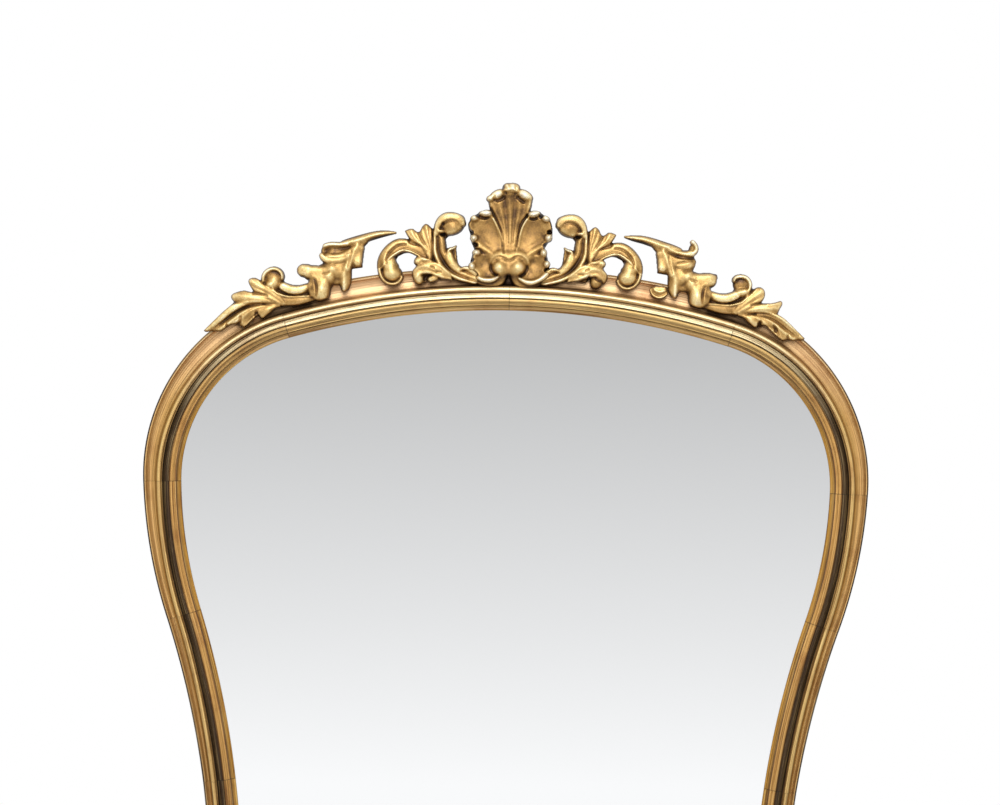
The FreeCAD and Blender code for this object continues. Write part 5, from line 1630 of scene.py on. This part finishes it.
SPRAY_LEFT = Pattern(
    outline=SPRAY_OUTLINE_LEFT,
    petals=(
        Petal(
            near=((570, 310), (600, 380), (650, 440), (690, 485), (705, 515)),
            rim=((705, 515), (735, 535), (760, 515), (752, 460), (725, 395)),
            far=((590, 290), (630, 330), (670, 360), (725, 395)),
            rise=(13, 16, 17, 13), dish=-1, ribs=3, rib_height=0.8, phase=0.2),
        Petal(
            near=((600, 310), (650, 360), (700, 390), (740, 402), (776, 417)),
            rim=((776, 417), (798, 414), (827, 397), (847, 371), (845, 342), (800, 300)),
            far=((600, 285), (660, 300), (730, 305), (800, 300)),
            rise=(13, 17, 18, 12), dish=-1.5, ribs=2, rib_height=0.7, phase=0.1),
        Petal(
            near=((690, 320), (770, 320), (830, 295), (900, 200), (985, 50)),
            rim=((985, 50), (978, 45), (965, 40)),
            far=((690, 295), (760, 280), (820, 235), (885, 145), (965, 40)),
            rise=(14, 18, 17, 9), dish=-1, ribs=1, rib_height=0.5, phase=0.5),
        Petal(
            near=((600, 285), (690, 295), (780, 250), (860, 150), (935, 60)),
            rim=((935, 60), (905, 45), (865, 95), (825, 120), (800, 130), (785, 88), (760, 140), (730, 195),
                (715, 215), (692, 172), (665, 200), (645, 245)),
            far=((600, 280), (615, 275), (630, 260), (645, 245)),
            rise=(12, 15, 15, 11), dish=-1.5, ribs=4, rib_height=1.2, phase=0.15),
    ),
    members=(
        Member(Cut.KEELED, ((15, 967, 1.4, 9), (70, 959, 5, 11), (120, 942, 6.8, 13), (170, 915, 7.8, 15),
            (220, 885, 8.4, 16), (270, 868, 6, 15), (300, 855, 4, 14))),
        Member(Cut.SOFT, ((220, 830, 4, 13), (270, 765, 10, 15), (325, 755, 13, 15.5), (370, 770, 10, 15))),
        Member(Cut.ROUND, ((250, 860, 4, 16), (310, 848, 4.5, 17.5), (350, 848, 4.5, 18), (388, 828, 4, 17))),
        Member(Cut.SOFT, ((235, 765, 4, 15), (290, 720, 7.5, 16.5), (340, 710, 8.5, 17), (385, 730, 6, 17),
            (397, 770, 3.5, 16))),
        Member(Cut.ROUND, ((685, 490, 3.5, 17), (683, 555, 4.5, 19), (655, 608, 4.5, 20), (614, 610, 4.5, 20),
            (592, 572, 4, 19), (590, 515, 3, 17))),
        Member(Cut.SOFT, ((430, 600, 12, 17), (475, 608, 12, 18.5), (517, 616, 10, 17.5))),
    ) + SPRAY_MEMBERS,
    bosses=(
        Boss(340, 630, 15, 13, 19.5), Boss(635, 545, 16.5, 17, 14.5), Boss(650, 475, 10, 8, 19),
        Boss(355, 560, 18, 14, 20, -60), Boss(388, 440, 13, 19, 23.5), Boss(634, 495, 13, 17, 19, 12),
    ),
    cuts=SPRAY_CUTS + (
        Member(Cut.SOFT, ((245, 830, 1.8, 2.2), (300, 790, 5.2, 3.6), (350, 787, 5.2, 3.4),
            (385, 790, 2.9, 2.4))),
        Member(Cut.SOFT, ((270, 745, 1.2, 1.2), (320, 722, 1.4, 1.6), (370, 728, 1.2, 1.2))),
        Member(Cut.SOFT, ((720, 235, 2.3, 3.9), (715, 205, 3, 5), (720, 170, 2.8, 4.4))),
        Member(Cut.SOFT, ((795, 190, 1.8, 2.8), (800, 145, 2.3, 3.9), (810, 110, 2.3, 3.9))),
        Member(Cut.SOFT, ((870, 120, 1.6, 2.8), (865, 85, 2.3, 3.9))),
    ),
    ground=11,
    # Painted shade in the curl's hollow, under the horn and on the outer lobe.
    painted_shades=(
        Boss(619, 588, 11, 7, 0.24), Boss(330, 790, 22, 8, 0.12), Boss(540, 330, 30, 7, 0.12),
        Boss(90, 925, 34, 4, 0.4, -9), Boss(434, 440, 8, 22, 0.24), Boss(730, 220, 22, 7, 0.1, -30),
    ),
)


class Crest:
    """The five carved pieces above the crown: a shell, and on each side a scroll and a spray. The
    two hands differ a little, as hand work does."""

    def pieces(self) -> list[Carving]:
        """Set the carvings in their boxes: start, foot, width and height in millimetres.

        Returns:
            The carvings.
        """
        patterns = {"left": (SCROLL_LEFT, SPRAY_LEFT), "right": (SCROLL_RIGHT, SPRAY_RIGHT)}
        out = [Carving("crest_shell", 1.0, -80.0, 36.0, 160.0, 190.0, SHELL, cell=0.85)]
        for side, (scroll, spray) in patterns.items():
            sign = SIDES[side]
            out.append(Carving("crest_scroll_" + side, sign, 52.0, 30.0, 180.0, 150.0, scroll, cell=0.85))
            out.append(Carving("crest_spray_" + side, sign, 194.0, -56.0, 344.0, 194.0, spray))
        return out

    def build(self, material: bpy.types.Material) -> list[bpy.types.Object]:
        """Carve every piece."""
        return [carving.build(material) for carving in self.pieces()]


class Hardware:
    """The pieces that keep the frame's own shape: boards, battens, glass, nails, screws, hangers.

    Boards stand in turn in the first pine and in board_tones - 1 others, named by a number.
    """

    board_tones: int = 3
    finishes: dict[str, SilveredGlass | BarePine | WornMetal] = {
        "silvered_glass": SilveredGlass(),
        "pine_board": BarePine("aged_pine_boards", "c9a06a", "8a5f36"),
        "pine_board_1": BarePine("aged_pine_boards_pale", "d0aa76", "94693e", ring_mm=9.0, offset=310.0),
        "pine_board_2": BarePine("aged_pine_boards_brown", "b98f5c", "7a5230", ring_mm=6.0, offset=730.0),
        "pine_brace": BarePine("aged_pine_battens", "bd9460", "7c532e", ring_mm=5.0),
        "beech_dowel": BarePine("beech_dowels", "cfa77c", "a87f55", ring_mm=3.0),
        "iron_fixing": WornMetal("dull_iron", "5b5550", "33261e", (0.45, 0.70)),
        "brass_hanger": WornMetal("tarnished_brass", "b08d4c", "6e5426", (0.28, 0.53)),
    }

    def dress(self) -> None:
        """Give each carried-over node the material of its slot."""
        slots = {part["node"]: part["material_slot"] for part in frame["record"]["subparts"]}
        made = {slot: finish.build() for slot, finish in self.finishes.items()}
        for name, node in frame["nodes"].items():
            slot = slots[name]
            if name.startswith("backboard_") and name[-1].isdigit() and int(name[-1]) % self.board_tones:
                slot += "_%d" % (int(name[-1]) % self.board_tones)
            material = made.get(slot)
            if material is not None:
                node.data.materials.clear()
                node.data.materials.append(material)
        log.info("dressed %d nodes", len(slots))


@dataclass
class Studio:
    """Pale floor, a wall of soft tone behind the camera, lamps, world and camera, in metres.

    The floor is an ellipse of floor_reach round its middle, clear from the share fade[1] out,
    so that no line parts it from the white. A wall tone is a height and the light it gives.
    A lamp is its name, place, size and power.
    """

    eye: tuple[float, float, float] = (-0.0127, -4.55, 1.2207)
    lens_mm: float = 93.35
    turn_degrees: float = 1.13
    floor_reach: tuple[float, float] = (3.0, 2.1)
    floor_middle_y: float = -1.0
    fade: tuple[float, float] = (0.55, 0.98)
    wall_y: float = -6.2
    wall_reach: float = 4.0
    wall_tones: tuple[tuple[float, float], ...] = ((-3.0, 1.05), (-0.36, 1.05), (0.30, 0.87), (0.92, 0.715),
                                                   (1.49, 0.575), (4.0, 0.42))
    soft_light: float = 0.45
    aim: tuple[float, float, float] = (0.0, 0.0, 1.1)
    lamps: tuple[tuple[str, tuple[float, float, float], float, float], ...] = (
        ("key", (-0.08, -2.9, 3.4), 1.8, 72.0), ("front", (0.0, -4.4, 2.45), 1.3, 68.0),
        ("fill_left", (-3.2, -2.6, 1.6), 1.6, 10.0), ("fill_right", (3.2, -2.6, 1.6), 1.6, 7.0))

    def plane(self, name: str, corners: tuple[tuple[float, float, float], ...],
              material: bpy.types.Material) -> bpy.types.Object:
        """Put up a flat four-cornered sheet of the stage.

        Args:
            name: its name.
            corners: its corners in turn.
            material: its finish.

        Returns:
            The sheet.
        """
        mesh = bpy.data.meshes.new(name)
        mesh.from_pydata(corners, [], [(0, 1, 2, 3)])
        mesh.materials.append(material)
        sheet = bpy.data.objects.new(name, mesh)
        bpy.context.collection.objects.link(sheet)
        return sheet

    def floor(self) -> None:
        """Lay a matt pale floor that takes the object's shadow."""
        material, tree = new_material("pale_floor")
        (wide, deep), middle = self.floor_reach, self.floor_middle_y
        shape = add_node(tree, "Mapping", values={"Location": (0.0, -middle / deep, 0.0),
                                                  "Scale": (1 / wide, 1 / deep, 1.0)},
                         links={0: add_node(tree, "TexCoord").outputs["Object"]})
        reach = add_node(tree, "VectorMath", {"operation": "LENGTH"}, links={0: shape})
        thin = add_node(tree, "MapRange", {"interpolation_type": "SMOOTHSTEP"},
                        {"From Min": self.fade[0], "From Max": self.fade[1]}, {0: reach.outputs["Value"]})
        matt = add_node(tree, "BsdfPrincipled", values={"Base Color": linear("e6e6e6"), "Roughness": 0.9})
        faded = add_node(tree, "MixShader", links={0: thin, 1: matt, 2: add_node(tree, "BsdfTransparent")})
        add_node(tree, "OutputMaterial", links={0: faded})
        self.plane("floor", ((-wide, middle - deep, 0.0), (wide, middle - deep, 0.0),
                             (wide, middle + deep, 0.0), (-wide, middle + deep, 0.0)), material)

    def wall(self) -> None:
        """Put up the studio wall behind the camera: white at the floor, falling to grey above.

        The glass shows it, and nothing else does: it gives light to glossy rays alone.
        """
        material, tree = new_material("studio_wall")
        parts = add_node(tree, "SeparateXYZ", links={0: add_node(tree, "TexCoord").outputs["Object"]})
        low, top = self.wall_tones[0][0], self.wall_tones[-1][0]
        height = add_node(tree, "MapRange", values={"From Min": low, "From Max": top},
                          links={0: parts.outputs[2]})
        stops = tuple(((at - low) / (top - low), (tone, tone, tone, 1.0)) for at, tone in self.wall_tones)
        ramp = add_node(tree, "ValToRGB", links={0: height}, stops=stops)
        light = add_node(tree, "Emission", links={0: ramp})
        path = add_node(tree, "LightPath")
        mix = add_node(tree, "MixShader", links={0: path.outputs["Is Glossy Ray"],
                                                 1: add_node(tree, "BsdfTransparent"), 2: light})
        add_node(tree, "OutputMaterial", links={0: mix})
        x, y = self.wall_reach, self.wall_y
        self.plane("studio_wall", ((-x, y, low), (x, y, low), (x, y, top), (-x, y, top)), material)

    def world(self) -> None:
        """Make the world white to the camera and to mirrors, and a soft light to all else."""
        world = bpy.data.worlds.new("studio")
        bpy.context.scene.world = world
        world.use_nodes = True
        tree = world.node_tree
        tree.nodes.clear()
        path = add_node(tree, "LightPath")
        clear = add_node(tree, "Math", {"operation": "MAXIMUM"}, links={
            0: path.outputs["Is Camera Ray"], 1: path.outputs["Is Transmission Ray"]})
        seen = add_node(tree, "Math", {"operation": "MAXIMUM"}, links={
            0: clear, 1: path.outputs["Is Glossy Ray"]})
        white = add_node(tree, "Background", values={0: (1.0, 1.0, 1.0, 1.0), 1: 1.0})
        soft = add_node(tree, "Background", values={0: (1.0, 1.0, 1.0, 1.0), 1: self.soft_light})
        mix = add_node(tree, "MixShader", links={0: seen, 1: soft, 2: white})
        add_node(tree, "OutputWorld", links={0: mix})

    def light(self) -> None:
        """Hang square soft lamps: a large one above, one over the camera, a weak one at each side."""
        for name, at, size, power in self.lamps:
            light = bpy.data.lights.new(name, "AREA")
            light.shape = "SQUARE"
            light.size = size
            light.energy = power
            lamp = bpy.data.objects.new(name, light)
            lamp.location = at
            lamp.rotation_euler = (Vector(self.aim) - Vector(at)).to_track_quat("-Z", "Y").to_euler()
            bpy.context.collection.objects.link(lamp)

    def camera(self) -> None:
        """Stand the camera, level and square to the glass, leaning as the photograph does."""
        lens = bpy.data.cameras.new("camera")
        lens.lens = self.lens_mm
        camera = bpy.data.objects.new("camera", lens)
        camera.location = self.eye
        camera.rotation_euler = (Matrix.Rotation(math.radians(90.0), 4, "X")
                                 @ Matrix.Rotation(math.radians(self.turn_degrees), 4, "Z")).to_euler()
        bpy.context.collection.objects.link(camera)
        bpy.context.scene.camera = camera

    def build(self) -> None:
        """Set the whole stage."""
        self.floor()
        self.wall()
        self.world()
        self.light()
        self.camera()
        bpy.context.scene.view_settings.view_transform = "Standard"


# Gold across the section, rear 0 to side 1. The first ramp is the crown as lit from above, with painted
# highlights in its white bands; the second is the flanks in painted shade with ageing, its dark outer edge
# painted shade
FRAME_GILDING = GiltMoulding(
    name="water_gilt_moulding",
    bands=((0.0, "7a5a32"), (0.1, "b08c58"), (0.14, "efdcae"), (0.2, "ead4a2"), (0.222, "8a6438"),
           (0.245, "54381e"), (0.27, "6b4a28"), (0.3, "c8a06a"), (0.335, "d8b47e"), (0.36, "ecd29c"),
           (0.43, "f8e6ba"), (0.48, "f0d6a0"), (0.51, "c89c64"), (0.6, "a87c4c"), (0.64, "c89e6c"),
           (0.7, "e2bc8e"), (0.82, "d0a678"), (0.86, "efd4a4"), (0.89, "d8b47c"), (0.91, "94703e"),
           (1.0, "7c5c36")),
    shaded_aged_bands=((0.0, "4a3018"), (0.14, "5a4a30"), (0.2, "52422a"), (0.222, "463424"), (0.245, "3a2a1c"),
                (0.27, "4a3422"), (0.3, "7a5a2c"), (0.335, "987034"), (0.36, "a8824a"), (0.4, "c09a5a"),
                (0.45, "d6b272"), (0.49, "ccaa68"), (0.53, "a88240"), (0.585, "8e6e36"), (0.62, "a07e40"),
                (0.68, "b68e4e"), (0.75, "c69c60"), (0.8, "c69e64"), (0.845, "dcb878"), (0.875, "c49a60"),
                (0.89, "4c3420"), (0.9, "2e2016"), (1.0, "2e2016")))
# The slip's crown ramp holds a painted highlight on its chamfer; its flank ramp is painted shade with ageing.
SLIP_GILDING = GiltMoulding(
    name="water_gilt_slip",
    bands=((0.0, "7a5c30"), (0.14, "8f6c2c"), (0.155, "b88e42"), (0.18, "a88448"), (0.2, "c49c6c"),
           (0.225, "b09058"), (0.25, "8a6a36"), (0.265, "6c4e26"), (0.33, "6e5228"), (0.36, "a8864a"),
           (0.42, "bd9c62"), (0.5, "9c7e46"), (0.57, "c8a672"), (0.64, "a0824a"), (0.7, "c0a066"),
           (0.77, "b8985c"), (0.8, "7a5c32"), (0.845, "40301c"), (0.862, "e8d4a4"), (0.91, "ecdab0"),
           (0.93, "e4cc98"), (0.96, "8a6438")),
    shaded_aged_bands=((0.0, "6a4a28"), (0.14, "8a6422"), (0.155, "b2822c"), (0.2, "a87c32"), (0.245, "84602e"),
                (0.265, "5e4222"), (0.33, "6a4a26"), (0.37, "a07640"), (0.45, "c09252"), (0.52, "b08444"),
                (0.6, "b68848"), (0.72, "b88c4c"), (0.79, "8a6236"), (0.83, "523820"), (0.88, "4a3a26"),
                (0.95, "4a3a26")))


def main() -> None:
    """Build the mirror's looks in order: frame, slip, crest, hardware, stage."""
    OuterMoulding().build(FRAME_GILDING.build())
    SlipMoulding().build(SLIP_GILDING.build())
    Crest().build(GiltCarving().build())
    Hardware().dress()
    Studio().build()
    log.info("the mirror is dressed")


if __name__ == "__main__":
    logging.basicConfig(level=logging.INFO, format="%(name)s: %(message)s")
    main()
